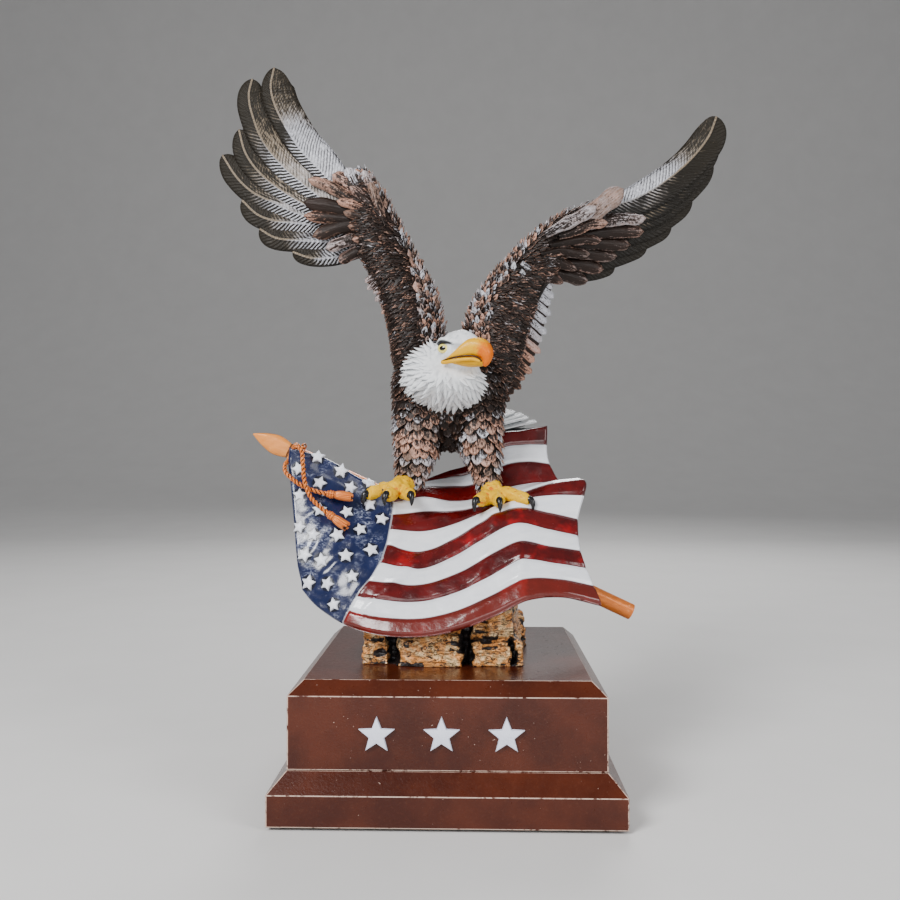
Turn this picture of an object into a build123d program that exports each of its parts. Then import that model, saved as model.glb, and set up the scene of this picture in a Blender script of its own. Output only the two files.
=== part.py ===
"""Painted cold-cast eagle statuette on a stepped plinth.

Origin at the centre of the plinth's underside, +Z up, +X to the viewer's right, +Y away
from the front. "Left" and "right" are the viewer's. Lengths are millimetres.
"""
import os
from math import cos, radians, sin
from build123d import *

os.makedirs("parts", exist_ok=True)

# Plinth: a foot with a sloped shoulder, and a block with a bevelled top.
PAD_THICK = 1.2
PAD_INSET = 3.0
FOOT_WIDTH = 132.0
FOOT_WALL_TOP = 13.0
SLOPE_RUN = 6.5
SLOPE_RISE = 7.0
BLOCK_WIDTH = FOOT_WIDTH - 2 * SLOPE_RUN
BLOCK_BASE = FOOT_WALL_TOP + SLOPE_RISE
BLOCK_WALL = 27.5
BEVEL_RUN = 5.5
BEVEL_RISE = 5.0
BLOCK_WALL_TOP = BLOCK_BASE + BLOCK_WALL
PLINTH_TOP = BLOCK_WALL_TOP + BEVEL_RISE
EDGE_ROUND = 0.6

# Three raised stars on the front of the block, each held by a peg.
STAR_CENTRES = ((-26.0, 33.5), (-2.0, 33.5), (22.0, 33.5))
STAR_RADIUS = 7.0
STAR_WAIST = 3.0
STAR_RELIEF = 1.6
PEG_RADIUS = 1.2
PEG_DEPTH = 4.0

# Fasteners under the plinth.
BOLT_PLACES = ((-14.0, 8.0), (12.0, 8.0))
BOLT_RADIUS = 2.5
BOLT_CLEARANCE = 2.75
BOLT_HEAD_RADIUS = 4.5
BOLT_HEAD_HEIGHT = 4.0
HEX_SOCKET = 2.0
HEX_SOCKET_DEPTH = 2.2
WASHER_RADIUS = 7.0
WASHER_THICK = 1.2
POCKET_TOP = 9.0
POCKET_RADIUS = 8.0
INSERT_RADIUS = 3.6
INSERT_LENGTH = 12.0
BOLT_REACH = 10.0
SCREW_OFFSET = 44.0
SCREW_RADIUS = 2.0
SCREW_HEAD_RADIUS = 4.0
SCREW_HEAD_HEIGHT = 3.0
SCREW_SINK = 3.0
SCREW_LENGTH = 28.0
SLOT_WIDTH = 1.0
SLOT_DEPTH = 1.2

# Flagpole, a straight rod that slants under the flag, and its spear head.
POLE_TOP = Vector(-67.0, -3.0, 137.2)
POLE_END = Vector(78.5, 4.0, 68.5)
POLE_RADIUS = 3.5
POLE_TANG_RADIUS = 1.2
POLE_TANG_DEPTH = 6.0
COLLAR_RADIUS = 4.3
COLLAR_LENGTH = 3.0
SPEAR_LENGTH = 17.5
SPEAR_HALF_WIDTH = 4.3
SPEAR_SHOULDER = 7.0
SPEAR_THICK = 2.6

# The flag, as lines from the hoist at the left to the fly at the right. The first line is
# the lower hem, the last the upper edge, which stands up behind the right leg.
SHEET_THICK = 3.0
FLAG_LINES = (
    ((-60, -27, 82), (-54, -30, 76), (-42, -36, 70), (-27, -41, 67), (-10, -43, 67),
     (5, -43, 70), (18, -42, 75), (31, -41, 81), (46, -39, 82), (61, -35, 78)),
    ((-63, -24, 96), (-53, -27, 92), (-41, -30, 88), (-27, -31, 86), (-12, -31, 85),
     (2, -30, 89), (14, -28, 95), (28, -26, 102), (41, -25, 100), (54, -23, 98)),
    ((-65, -19, 110), (-53, -21, 107), (-40, -22, 103), (-26, -21, 100), (-12, -20, 97),
     (1, -18, 102), (13, -16, 109), (27, -14, 115), (41, -13, 113), (54, -12, 110)),
    ((-66, -14, 124), (-53, -15, 119), (-39, -14, 115), (-25, -13, 112), (-11, -8, 113),
     (1, -5, 113), (12, -3, 115), (28, -3, 120), (43, -3, 125), (57, -3, 127)),
    ((-67, -12, 133), (-53, -12, 127), (-38, -12, 120), (-25, -12, 117), (-12, -2, 119),
     (0, 4, 117), (11, 6, 118), (26, 8, 123), (38, 8, 125), (49, 7, 125)),
    ((-67, -11, 137), (-52, -12, 131), (-38, -12, 124), (-24, -11, 120), (-12, 6, 123),
     (-1, 12, 123), (10, 13, 124), (23, 13, 132), (34, 13, 134), (44, 12, 133)),
    ((-67, -11, 140), (-52, -12, 135), (-38, -12, 127), (-24, -10, 122), (-12, 12, 126),
     (-2, 20, 130), (9, 20, 135), (21, 18, 150), (32, 18, 151), (43, 17, 150)),
)

# Rock outcrop: a mound under the flag, and the chiselled blocks round its foot.
ROCK_LAYERS = (
    (PLINTH_TOP, ((-31, -29), (26, -29), (31, -8), (28, 25), (4, 31), (-27, 27), (-36, 4))),
    (78.0, ((-28, -23), (24, -24), (28, -6), (25, 22), (3, 26), (-24, 23), (-32, 2))),
    (100.0, ((-24, -8), (20, -9), (24, 0), (20, 16), (0, 18), (-22, 12), (-27, 0))),
    (113.5, ((-23, 2), (12, 1), (22, 4), (15, 11), (0, 13), (-16, 10), (-24, 6))),
)
# Each block: centre x, centre y, width, depth, top height, turn in degrees.
ROCK_BLOCKS = (
    (-30.0, -22.0, 11.0, 14.0, 73.0, 4.0),
    (-7.5, -25.0, 27.0, 17.0, 65.0, -2.0),
    (18.5, -23.0, 22.0, 18.0, 63.0, 3.0),
    (20.0, -22.0, 12.0, 12.0, 75.0, 8.0),
    (-28.0, 18.0, 18.0, 16.0, 70.0, 12.0),
    (0.0, 26.0, 26.0, 14.0, 76.0, -5.0),
    (24.0, 17.0, 16.0, 20.0, 68.0, 9.0),
)
BLOCK_TAPER = 3.0
BLOCK_CHIP = 1.5

# Eagle body and legs, as level ellipses: centre x, y, height, half width, half depth.
TORSO = (
    (-1, 13, 141, 11, 8), (-1, 11, 148, 20, 14), (-1, 8, 158, 24.5, 19), (-1, 5, 170, 25, 20),
    (-1, 3, 182, 21, 18), (0, 3, 191, 15, 14), (0, 4, 197, 8, 8),
)
LEFT_LEG = (
    (-17.5, 3, 127, 5.5, 5.5), (-16, 2, 132, 7.5, 7.5), (-14.5, 1, 139, 9.5, 9.5),
    (-14, 1, 148, 10.5, 11), (-14, 2, 160, 11, 12),
)
RIGHT_LEG = (
    (16, 3, 126, 5, 5), (14.5, 2, 132, 6.5, 7), (12.5, 1, 139, 8.5, 9),
    (11.5, 1, 148, 10.5, 11), (12, 2, 160, 11, 12),
)
HEAD = (
    (-1, -12, 156, 8, 6), (-2, -12, 162, 16, 12), (-1.5, -12, 169, 18.5, 15),
    (0, -13, 175, 16.5, 15), (4, -15, 181, 12, 12.5), (5, -15, 185, 8, 8.5),
    (5.5, -15, 187.5, 3, 3),
)

# Beak, turned to the right of the front: section centre, direction, half width, half height.
BEAK = (
    ((6.0, -23.0, 179.0), (0.74, -0.67, 0.0), 4.6, 5.4),
    ((11.0, -27.5, 179.0), (0.74, -0.67, -0.1), 3.8, 4.4),
    ((15.5, -31.5, 177.5), (0.6, -0.55, -0.6), 2.6, 2.8),
    ((17.0, -33.0, 173.5), (0.1, -0.1, -1.0), 1.0, 1.1),
)

# Wings. Each feather is a row of circles along its shaft: (x, z) places, then radii.
LEFT_ARM = (
    (-26, 181), (-28, 196), (-35, 208), (-44, 219), (-55, 226), (-60, 240), (-56, 256),
    (-47, 265), (-39, 265), (-31, 259), (-22, 250), (-14, 237), (-8, 222), (-4, 203), (-4, 184),
)
LEFT_FEATHERS = (
    (((-46, 252), (-62, 266), (-74, 283), (-80, 304)), (8, 9, 8, 6)),
    (((-50, 246), (-74, 264), (-86, 281), (-90, 300)), (8, 8, 7, 5)),
    (((-50, 242), (-76, 254), (-89, 266), (-96, 279)), (7, 7, 6, 3)),
    (((-50, 240), (-78, 248), (-93, 257), (-104, 269)), (7, 7, 5, 3)),
    (((-50, 238), (-70, 241), (-83, 245), (-92, 251)), (7, 6, 5, 2)),
    (((-48, 235), (-62, 234), (-72, 235), (-84, 238)), (6, 6, 5, 2)),
    (((-42, 232), (-52, 227), (-60, 225), (-68, 227)), (6, 6, 4, 2)),
    (((-22, 214), (-32, 211), (-38, 211)), (7, 6, 3)),
)
RIGHT_ARM = (
    (24, 164), (31, 169), (37, 177), (42, 190), (44, 202), (43, 213), (54, 217), (66, 224),
    (82, 230), (96, 237), (95, 255), (84, 257), (68, 253), (51, 250), (42, 246), (30, 234),
    (20, 221), (11, 208), (7, 194), (10, 180),
)
RIGHT_FEATHERS = (
    (((88, 248), (102, 258), (112, 270), (116, 283)), (9, 9, 7, 5)),
    (((86, 244), (102, 253), (112, 264), (117, 274)), (9, 8, 6, 3)),
    (((80, 242), (98, 248), (106, 253), (113, 261)), (9, 8, 6, 3)),
    (((70, 238), (88, 239), (96, 242), (103, 246)), (9, 8, 6, 3)),
    (((50, 228), (60, 226), (66, 226)), (8, 8, 6)),
    (((30, 205), (38, 203), (42, 206)), (8, 7, 4)),
    (((26, 190), (34, 186), (39, 188)), (8, 7, 4)),
)

# Each wing follows a slab that thins and leans back towards its tip: for the left wing its
# height, y and thickness, for the right wing its x, y, height and thickness.
LEFT_SLAB = ((165, 5, 20), (200, 9, 16), (230, 13, 13), (265, 17, 9), (320, 25, 5))
RIGHT_SLAB = (
    (-5, 9, 195, 20), (30, 13, 205, 15), (60, 17, 230, 11), (90, 21, 246, 8), (130, 27, 272, 5),
)
RIGHT_LEAN = 18.0
SLAB_REACH = 170.0
WING_EXTENT = 60.0

# Tail, a fan of feathers that opens backwards and rises.
TAIL_ROOT = Vector(6.0, 19.0, 147.0)
TAIL_TURN = -8.0
TAIL_RISE = 17.0
TAIL_RADIUS = 36.0
TAIL_FEATHERS = 9
TAIL_SPREAD = 80.0
TAIL_ROOT_RADIUS = 6.0
TAIL_TIP_RADIUS = 4.2
TAIL_THICK = 4.0

# Feet: centre of the pad, then the toes, each as a turn from the front and a length.
LEFT_FOOT = Vector(-21.0, -4.0, 125.0)
RIGHT_FOOT = Vector(18.5, -3.0, 122.5)
LEFT_ANKLE = Vector(-17.5, 3.0, 128.0)
RIGHT_ANKLE = Vector(16.0, 3.0, 127.0)
LEFT_TOES = ((-52.0, 13.0), (-16.0, 13.0), (18.0, 12.0), (165.0, 9.0))
RIGHT_TOES = ((-30.0, 12.0), (6.0, 13.0), (46.0, 14.0), (190.0, 9.0))
PAD_RADIUS = 5.0
ANKLE_RADIUS = 4.6
TOE_RADIUS = 3.2
TIP_RADIUS = 2.3
TOE_DROP = 2.5
TALON_REACH = 2.5
TALON_DROP = 5.5
TALON_RADIUS = 1.8
TALON_TIP_RADIUS = 0.4

# Pins and rods inside the figure.
ROD_RADIUS = 1.5
ROD_TOP = 150.0
ROD_BOTTOM = 124.0
WING_DOWEL_RADIUS = 2.0
WING_DOWEL_BOTTOM = 179.0
WING_DOWEL_TOP = 203.0
WING_DOWEL_PLACES = ((-12.0, 7.5), (14.0, 9.0))
HEAD_DOWEL_RADIUS = 2.0
HEAD_DOWEL_START = Vector(0.0, -21.0, 170.0)
HEAD_DOWEL_END = Vector(0.0, 0.0, 170.0)
TAIL_DOWEL_RADIUS = 1.3
TAIL_DOWEL_REACH = 9.0

# Cord round the pole's neck, its two hanging strands and their tassels.
CORD_RADIUS = 1.3
NECK_OFFSET = 1.8
NECK_PLAY = 0.1
STRAND_A = ((-69.2, -7.5, 131.8), (-69, -14.6, 130.6), (-64, -16.9, 125.5), (-51, -17.3, 121.5))
STRAND_B = (
    (-62.5, -8.2, 141.6), (-61, -17.5, 141), (-60.5, -19, 130), (-57, -21, 120), (-50, -22, 113),
)
STRAND_A_BENDS = (2.5, 2.5)
STRAND_B_BENDS = (2.5, 4.0, 4.0)
TASSEL_A_END = Vector(-40.0, -17.3, 119.0)
TASSEL_B_END = Vector(-41.5, -24.5, 107.0)
TASSEL_GAP = 0.3
# Distance from the tassel's start and radius there: crown, widest point of the head, neck.
TASSEL_PROFILE = ((0.0, 1.4), (1.8, 2.3), (3.8, 1.6))
TASSEL_SKIRT_RADIUS = 2.8


def ellipse_stack(sections):
    """A smooth solid through level ellipses, given from one end to the other."""
    with BuildPart() as stack:
        for x, y, z, half_width, half_depth in sections:
            with BuildSketch(Plane((x, y, z))):
                Ellipse(half_width, half_depth)
        loft()
    return stack.part


def taper(start, end, start_radius, end_radius):
    """A round bar whose radius changes evenly between two points."""
    axis = end - start
    with BuildPart() as bar:
        with BuildSketch(Plane(start, z_dir=axis)):
            Circle(start_radius)
        with BuildSketch(Plane(end, z_dir=axis)):
            Circle(end_radius)
        loft()
    return bar.part


def upright(places, bottom, top, radius):
    """A group of round bars that stand at the given (x, y) places."""
    with BuildPart() as bars:
        with BuildSketch(Plane.XY.offset(bottom)):
            with Locations(*places):
                Circle(radius)
        extrude(amount=top - bottom)
    return bars.part


def star_corners(centre, outer, inner):
    """The ten corners of a five-point star that stands on two points."""
    corners = []
    for step in range(10):
        radius = outer if step % 2 == 0 else inner
        angle = radians(90 + 36 * step)
        corners.append((centre[0] + radius * cos(angle), centre[1] + radius * sin(angle)))
    return corners


def feather_outline(places, radii):
    """A feather's outline, rounded at both ends, as one flat piece for each span of its shaft."""
    spans = []
    for near, far, near_radius, far_radius in zip(places, places[1:], radii, radii[1:]):
        with BuildSketch() as span:
            with Locations(near):
                Circle(near_radius)
            with Locations(far):
                Circle(far_radius)
            make_hull()
        spans.append(span.sketch)
    return spans


def wing_blank(arm, feathers):
    """The wing's outline, arm and feathers together, as a deep prism along Y."""
    outlines = [span for places, radii in feathers for span in feather_outline(places, radii)]
    with BuildPart() as blank:
        with BuildSketch(Plane.XZ):
            with BuildLine():
                Spline(*arm, periodic=True)
            make_face()
            add(outlines)
        extrude(amount=WING_EXTENT, both=True)
    return blank.part


def largest(part):
    """The main solid, without the slivers that a cut leaves beside it."""
    return part.solids().sort_by(SortBy.VOLUME)[-1]


def rock_block(x, y, width, depth, top, turn):
    """One chiselled block that stands on the plinth, with chipped upper edges."""
    with BuildPart() as block:
        with BuildSketch(Plane((x, y, PLINTH_TOP))):
            Rectangle(width, depth, rotation=turn)
        extrude(amount=top - PLINTH_TOP, taper=BLOCK_TAPER)
        chamfer(block.faces().sort_by(Axis.Z)[-1].edges(), BLOCK_CHIP)
    return block.part


def toe(centre, turn, length):
    """One toe with its talon, bent down at the end; a turn of 0 points to the front."""
    ahead = Vector(sin(radians(turn)), -cos(radians(turn)), 0)
    knuckle = centre + ahead * length - Vector(0, 0, TOE_DROP)
    talon_start = knuckle + ahead * (TIP_RADIUS / 2)
    talon_tip = talon_start + ahead * TALON_REACH - Vector(0, 0, TALON_DROP)
    with BuildPart() as digit:
        add(taper(centre, knuckle, TOE_RADIUS, TIP_RADIUS))
        with Locations(knuckle):
            Sphere(TIP_RADIUS)
        add(taper(talon_start, talon_tip, TALON_RADIUS, TALON_TIP_RADIUS))
    return digit.part


def foot(centre, ankle, toes):
    """A foot: ankle, pad and four toes."""
    digits = [toe(centre, turn, length) for turn, length in toes]
    shank = taper(ankle, centre, ANKLE_RADIUS, PAD_RADIUS)
    with BuildPart() as whole:
        with Locations(centre):
            Sphere(PAD_RADIUS)
        add(shank)
        add(digits)
    return whole.part


def tassel(knot, end):
    """A tassel: a round head that narrows to a neck, and a flared skirt."""
    axis = (end - knot).normalized()
    start = knot + axis * TASSEL_GAP
    with BuildPart() as whole:
        for reach, radius in TASSEL_PROFILE:
            with BuildSketch(Plane(start + axis * reach, z_dir=axis)):
                Circle(radius)
        with BuildSketch(Plane(end, z_dir=axis)):
            Circle(TASSEL_SKIRT_RADIUS)
        loft()
    return whole.part


def finish(part, name):
    """Label one piece and write its file."""
    part.label = name
    export_step(part, f"parts/{name}.step")
    print(name, "solids", len(part.solids()), "volume", round(part.volume), flush=True)


# ---------------------------------------------------------------- pins and rods
ROD_PLACES = ((LEFT_ANKLE.X, LEFT_ANKLE.Y), (RIGHT_ANKLE.X, RIGHT_ANKLE.Y))
leg_rods = upright(ROD_PLACES, ROD_BOTTOM, ROD_TOP, ROD_RADIUS)
finish(leg_rods, "leg_rods")

wing_dowels = upright(WING_DOWEL_PLACES, WING_DOWEL_BOTTOM, WING_DOWEL_TOP, WING_DOWEL_RADIUS)
finish(wing_dowels, "wing_dowels")

head_dowel = taper(HEAD_DOWEL_START, HEAD_DOWEL_END, HEAD_DOWEL_RADIUS, HEAD_DOWEL_RADIUS)
finish(head_dowel, "head_dowel")

TAIL_PLANE = Plane(TAIL_ROOT).rotated((TAIL_RISE, 0, TAIL_TURN))
TAIL_AXIS = TAIL_PLANE.y_dir * TAIL_DOWEL_REACH
tail_dowel = taper(TAIL_ROOT - TAIL_AXIS, TAIL_ROOT + TAIL_AXIS, TAIL_DOWEL_RADIUS, TAIL_DOWEL_RADIUS)
finish(tail_dowel, "tail_dowel")

# ---------------------------------------------------------------- plinth
with BuildPart() as felt_pad:
    with BuildSketch():
        RectangleRounded(FOOT_WIDTH - 2 * PAD_INSET, FOOT_WIDTH - 2 * PAD_INSET, PAD_INSET)
    extrude(amount=PAD_THICK)
finish(felt_pad.part, "felt_pad")

SCREW_PLACES = [(x, y) for x in (-SCREW_OFFSET, SCREW_OFFSET) for y in (-SCREW_OFFSET, SCREW_OFFSET)]
SCREW_BASE = PAD_THICK + SCREW_SINK
with BuildPart() as tier_screws:
    with Locations(*[(x, y, SCREW_BASE) for x, y in SCREW_PLACES]):
        Cone(SCREW_HEAD_RADIUS, SCREW_RADIUS, SCREW_HEAD_HEIGHT,
             align=(Align.CENTER, Align.CENTER, Align.MIN))
        Cylinder(SCREW_RADIUS, SCREW_LENGTH, align=(Align.CENTER, Align.CENTER, Align.MIN))
        Box(2 * SCREW_HEAD_RADIUS, SLOT_WIDTH, SLOT_DEPTH,
            align=(Align.CENTER, Align.CENTER, Align.MIN), mode=Mode.SUBTRACT)
finish(tier_screws.part, "tier_screws")

WASHER_BASE = POCKET_TOP - WASHER_THICK
with BuildPart() as bolt_washers:
    with BuildSketch(Plane.XY.offset(WASHER_BASE)):
        with Locations(*BOLT_PLACES):
            Circle(WASHER_RADIUS)
            Circle(BOLT_CLEARANCE, mode=Mode.SUBTRACT)
    extrude(amount=WASHER_THICK)
finish(bolt_washers.part, "bolt_washers")

BOLT_TOP = PLINTH_TOP + BOLT_REACH
with BuildPart() as figure_bolts:
    with BuildSketch(Plane.XY.offset(WASHER_BASE - BOLT_HEAD_HEIGHT)):
        with Locations(*BOLT_PLACES):
            Circle(BOLT_HEAD_RADIUS)
    extrude(amount=BOLT_HEAD_HEIGHT)
    with BuildSketch(Plane.XY.offset(WASHER_BASE)):
        with Locations(*BOLT_PLACES):
            Circle(BOLT_RADIUS)
    extrude(amount=BOLT_TOP - WASHER_BASE)
    with BuildSketch(Plane.XY.offset(WASHER_BASE - BOLT_HEAD_HEIGHT)):
        with Locations(*BOLT_PLACES):
            RegularPolygon(HEX_SOCKET, 6)
    extrude(amount=HEX_SOCKET_DEPTH, mode=Mode.SUBTRACT)
finish(figure_bolts.part, "figure_bolts")

with BuildPart() as threaded_inserts:
    with BuildSketch(Plane.XY.offset(PLINTH_TOP)):
        with Locations(*BOLT_PLACES):
            Circle(INSERT_RADIUS)
            Circle(BOLT_RADIUS, mode=Mode.SUBTRACT)
    extrude(amount=INSERT_LENGTH)
finish(threaded_inserts.part, "threaded_inserts")

pockets = upright(BOLT_PLACES, PAD_THICK, POCKET_TOP, POCKET_RADIUS)
bolt_holes = upright(BOLT_PLACES, PAD_THICK, BOLT_TOP, BOLT_CLEARANCE)
screw_wells = upright(SCREW_PLACES, PAD_THICK, SCREW_BASE, SCREW_HEAD_RADIUS)

with BuildPart() as plinth_foot:
    with BuildSketch(Plane.XY.offset(PAD_THICK)):
        Rectangle(FOOT_WIDTH, FOOT_WIDTH)
    extrude(amount=FOOT_WALL_TOP - PAD_THICK)
    with BuildSketch(Plane.XY.offset(FOOT_WALL_TOP)):
        Rectangle(FOOT_WIDTH, FOOT_WIDTH)
    with BuildSketch(Plane.XY.offset(BLOCK_BASE)):
        Rectangle(BLOCK_WIDTH, BLOCK_WIDTH)
    loft(ruled=True)
    fillet(plinth_foot.edges(), EDGE_ROUND)
    add([pockets, bolt_holes, screw_wells, tier_screws.part], mode=Mode.SUBTRACT)
finish(plinth_foot.part, "plinth_foot")

with BuildPart() as front_stars:
    with BuildSketch(Plane.XZ.offset(BLOCK_WIDTH / 2)):
        for centre in STAR_CENTRES:
            Polygon(*star_corners(centre, STAR_RADIUS, STAR_WAIST), align=None)
    extrude(amount=STAR_RELIEF)
    with BuildSketch(Plane.XZ.offset(BLOCK_WIDTH / 2)):
        with Locations(*STAR_CENTRES):
            Circle(PEG_RADIUS)
    extrude(amount=-PEG_DEPTH)
finish(front_stars.part, "front_stars")

with BuildPart() as plinth_block:
    with BuildSketch(Plane.XY.offset(BLOCK_BASE)):
        Rectangle(BLOCK_WIDTH, BLOCK_WIDTH)
    extrude(amount=BLOCK_WALL)
    with BuildSketch(Plane.XY.offset(BLOCK_WALL_TOP)):
        Rectangle(BLOCK_WIDTH, BLOCK_WIDTH)
    with BuildSketch(Plane.XY.offset(PLINTH_TOP)):
        Rectangle(BLOCK_WIDTH - 2 * BEVEL_RUN, BLOCK_WIDTH - 2 * BEVEL_RUN)
    loft(ruled=True)
    fillet(plinth_block.edges(), EDGE_ROUND)
    add([bolt_holes, tier_screws.part, front_stars.part], mode=Mode.SUBTRACT)
finish(plinth_block.part, "plinth_block")

# ---------------------------------------------------------------- pole, spear head, flag
flagpole_blank = taper(POLE_TOP, POLE_END, POLE_RADIUS, POLE_RADIUS)
POLE_DIRECTION = (POLE_TOP - POLE_END).normalized()
SPEAR_PLANE = Plane(POLE_TOP, x_dir=POLE_DIRECTION, z_dir=(0, -1, 0))
with BuildPart() as pole_finial:
    add(taper(POLE_TOP, POLE_TOP + POLE_DIRECTION * COLLAR_LENGTH, COLLAR_RADIUS, COLLAR_RADIUS))
    add(taper(POLE_TOP - POLE_DIRECTION * POLE_TANG_DEPTH, POLE_TOP, POLE_TANG_RADIUS, POLE_TANG_RADIUS))
    with BuildSketch(SPEAR_PLANE):
        with BuildLine():
            tip = (COLLAR_LENGTH + SPEAR_LENGTH, 0)
            Spline((1.0, SPEAR_HALF_WIDTH - 1.0), (SPEAR_SHOULDER, SPEAR_HALF_WIDTH), tip)
            Spline(tip, (SPEAR_SHOULDER, -SPEAR_HALF_WIDTH), (1.0, 1.0 - SPEAR_HALF_WIDTH))
            Line((1.0, 1.0 - SPEAR_HALF_WIDTH), (1.0, SPEAR_HALF_WIDTH - 1.0))
        make_face()
    extrude(amount=SPEAR_THICK / 2, both=True)
finish(pole_finial.part, "pole_finial")

with BuildPart() as flagpole:
    add(flagpole_blank)
    add(pole_finial.part, mode=Mode.SUBTRACT)
finish(flagpole.part, "flagpole")

flag_points = [[Vector(*point) for point in line] for line in FLAG_LINES]
flag_face = Face.make_surface_from_array_of_points(flag_points, tol=0.2, min_deg=3, max_deg=3)
with BuildPart() as flag:
    thicken(flag_face, amount=SHEET_THICK)
finish(flag.part, "flag")

# ---------------------------------------------------------------- rock
blocks = [rock_block(*sizes) for sizes in ROCK_BLOCKS]
insert_sockets = upright(BOLT_PLACES, PLINTH_TOP, PLINTH_TOP + INSERT_LENGTH, INSERT_RADIUS)
with BuildPart() as rock_outcrop:
    for height, corners in ROCK_LAYERS:
        with BuildSketch(Plane.XY.offset(height)):
            Polygon(*corners, align=None)
    loft(ruled=True)
    add(blocks)
    add([insert_sockets, flagpole_blank, flag.part], mode=Mode.SUBTRACT)
finish(rock_outcrop.part, "rock_outcrop")

# ---------------------------------------------------------------- eagle
torso = ellipse_stack(TORSO)
left_leg = ellipse_stack(LEFT_LEG)
right_leg = ellipse_stack(RIGHT_LEG)
with BuildPart() as eagle_body:
    add([torso, left_leg, right_leg])
    add([leg_rods, wing_dowels, head_dowel, tail_dowel], mode=Mode.SUBTRACT)
finish(eagle_body.part, "eagle_body")

with BuildPart() as beak:
    for centre, direction, half_width, half_height in BEAK:
        with BuildSketch(Plane(centre, x_dir=(0.67, 0.74, 0), z_dir=direction)):
            Ellipse(half_width, half_height)
    loft()

with BuildPart() as eagle_head:
    add([ellipse_stack(HEAD), beak.part])
    add([torso, left_leg, right_leg, head_dowel], mode=Mode.SUBTRACT)
finish(eagle_head.part, "eagle_head")

with BuildPart() as left_slab:
    for height, y, thickness in LEFT_SLAB:
        with BuildSketch(Plane((0, y, height))):
            Rectangle(2 * SLAB_REACH, thickness)
    loft()

with BuildPart() as right_slab:
    for x, y, height, thickness in RIGHT_SLAB:
        with BuildSketch(Plane((x, y, height), x_dir=(0, 1, 0), z_dir=(1, 0, 0))):
            Rectangle(thickness, 2 * SLAB_REACH, rotation=RIGHT_LEAN)
    loft()

for name, arm, feathers, slab in (
    ("left_wing", LEFT_ARM, LEFT_FEATHERS, left_slab.part),
    ("right_wing", RIGHT_ARM, RIGHT_FEATHERS, right_slab.part),
):
    blank = wing_blank(arm, feathers)
    with BuildPart() as wing:
        add(blank)
        add(slab, mode=Mode.INTERSECT)
        add([torso, wing_dowels, eagle_head.part], mode=Mode.SUBTRACT)
    finish(largest(wing.part), name)

tail_outlines = []
for index in range(TAIL_FEATHERS):
    turn = radians(90 + TAIL_SPREAD * (index / (TAIL_FEATHERS - 1) - 0.5))
    feather_tip = (TAIL_RADIUS * cos(turn), TAIL_RADIUS * sin(turn))
    tail_outlines += feather_outline(((0, 0), feather_tip), (TAIL_ROOT_RADIUS, TAIL_TIP_RADIUS))

with BuildPart() as tail:
    with BuildSketch(TAIL_PLANE):
        add(tail_outlines)
    extrude(amount=TAIL_THICK / 2, both=True)
    add([torso, tail_dowel], mode=Mode.SUBTRACT)
finish(largest(tail.part), "tail")

for name, centre, ankle, toes, leg in (
    ("left_foot", LEFT_FOOT, LEFT_ANKLE, LEFT_TOES, left_leg),
    ("right_foot", RIGHT_FOOT, RIGHT_ANKLE, RIGHT_TOES, right_leg),
):
    foot_blank = foot(centre, ankle, toes)
    with BuildPart() as claw:
        add(foot_blank)
        add([leg, leg_rods, flagpole_blank, flag.part], mode=Mode.SUBTRACT)
    finish(largest(claw.part), name)

# ---------------------------------------------------------------- cord and tassels
strands = []
for route, bends in ((STRAND_A, STRAND_A_BENDS), (STRAND_B, STRAND_B_BENDS)):
    with BuildPart() as strand:
        with BuildLine() as path:
            FilletPolyline(*route, radius=bends)
        with BuildSketch(Plane(path.line @ 0, z_dir=path.line % 0)):
            Circle(CORD_RADIUS)
        sweep()
    strands.append(strand.part)

neck = POLE_TOP - POLE_DIRECTION * NECK_OFFSET
with BuildPart() as flag_cord:
    with Locations(Plane(neck, z_dir=POLE_DIRECTION)):
        Torus(POLE_RADIUS + CORD_RADIUS + NECK_PLAY, CORD_RADIUS)
    add(strands)
finish(flag_cord.part, "flag_cord")

tassels = [tassel(Vector(*STRAND_A[-1]), TASSEL_A_END), tassel(Vector(*STRAND_B[-1]), TASSEL_B_END)]
with BuildPart() as cord_tassels:
    add(tassels)
finish(cord_tassels.part, "cord_tassels")
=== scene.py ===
"""Looks of the painted eagle statuette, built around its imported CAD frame.

Places are millimetres in the frame of the part, as in part.py; every mesh is scaled to metres
when it is made. "Left" and "right" are the viewer's.
"""
import math
import random

import bpy
import numpy as np
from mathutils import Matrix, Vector, noise
from mathutils.bvhtree import BVHTree


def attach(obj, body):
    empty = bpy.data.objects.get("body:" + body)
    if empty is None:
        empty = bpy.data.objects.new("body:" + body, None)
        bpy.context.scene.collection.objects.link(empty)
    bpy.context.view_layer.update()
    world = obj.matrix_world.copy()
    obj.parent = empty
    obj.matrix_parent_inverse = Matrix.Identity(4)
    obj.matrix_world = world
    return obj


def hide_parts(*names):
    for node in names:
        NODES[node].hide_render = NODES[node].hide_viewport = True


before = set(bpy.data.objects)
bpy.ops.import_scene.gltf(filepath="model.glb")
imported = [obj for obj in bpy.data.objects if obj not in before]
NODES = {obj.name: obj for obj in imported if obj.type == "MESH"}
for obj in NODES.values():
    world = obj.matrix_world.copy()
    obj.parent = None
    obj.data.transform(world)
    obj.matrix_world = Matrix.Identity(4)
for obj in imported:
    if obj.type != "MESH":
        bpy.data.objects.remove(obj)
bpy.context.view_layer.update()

MM = 0.001
FRONT = Vector((0.0, -1.0, 0.0))
UP = Vector((0.0, 0.0, 1.0))


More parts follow.
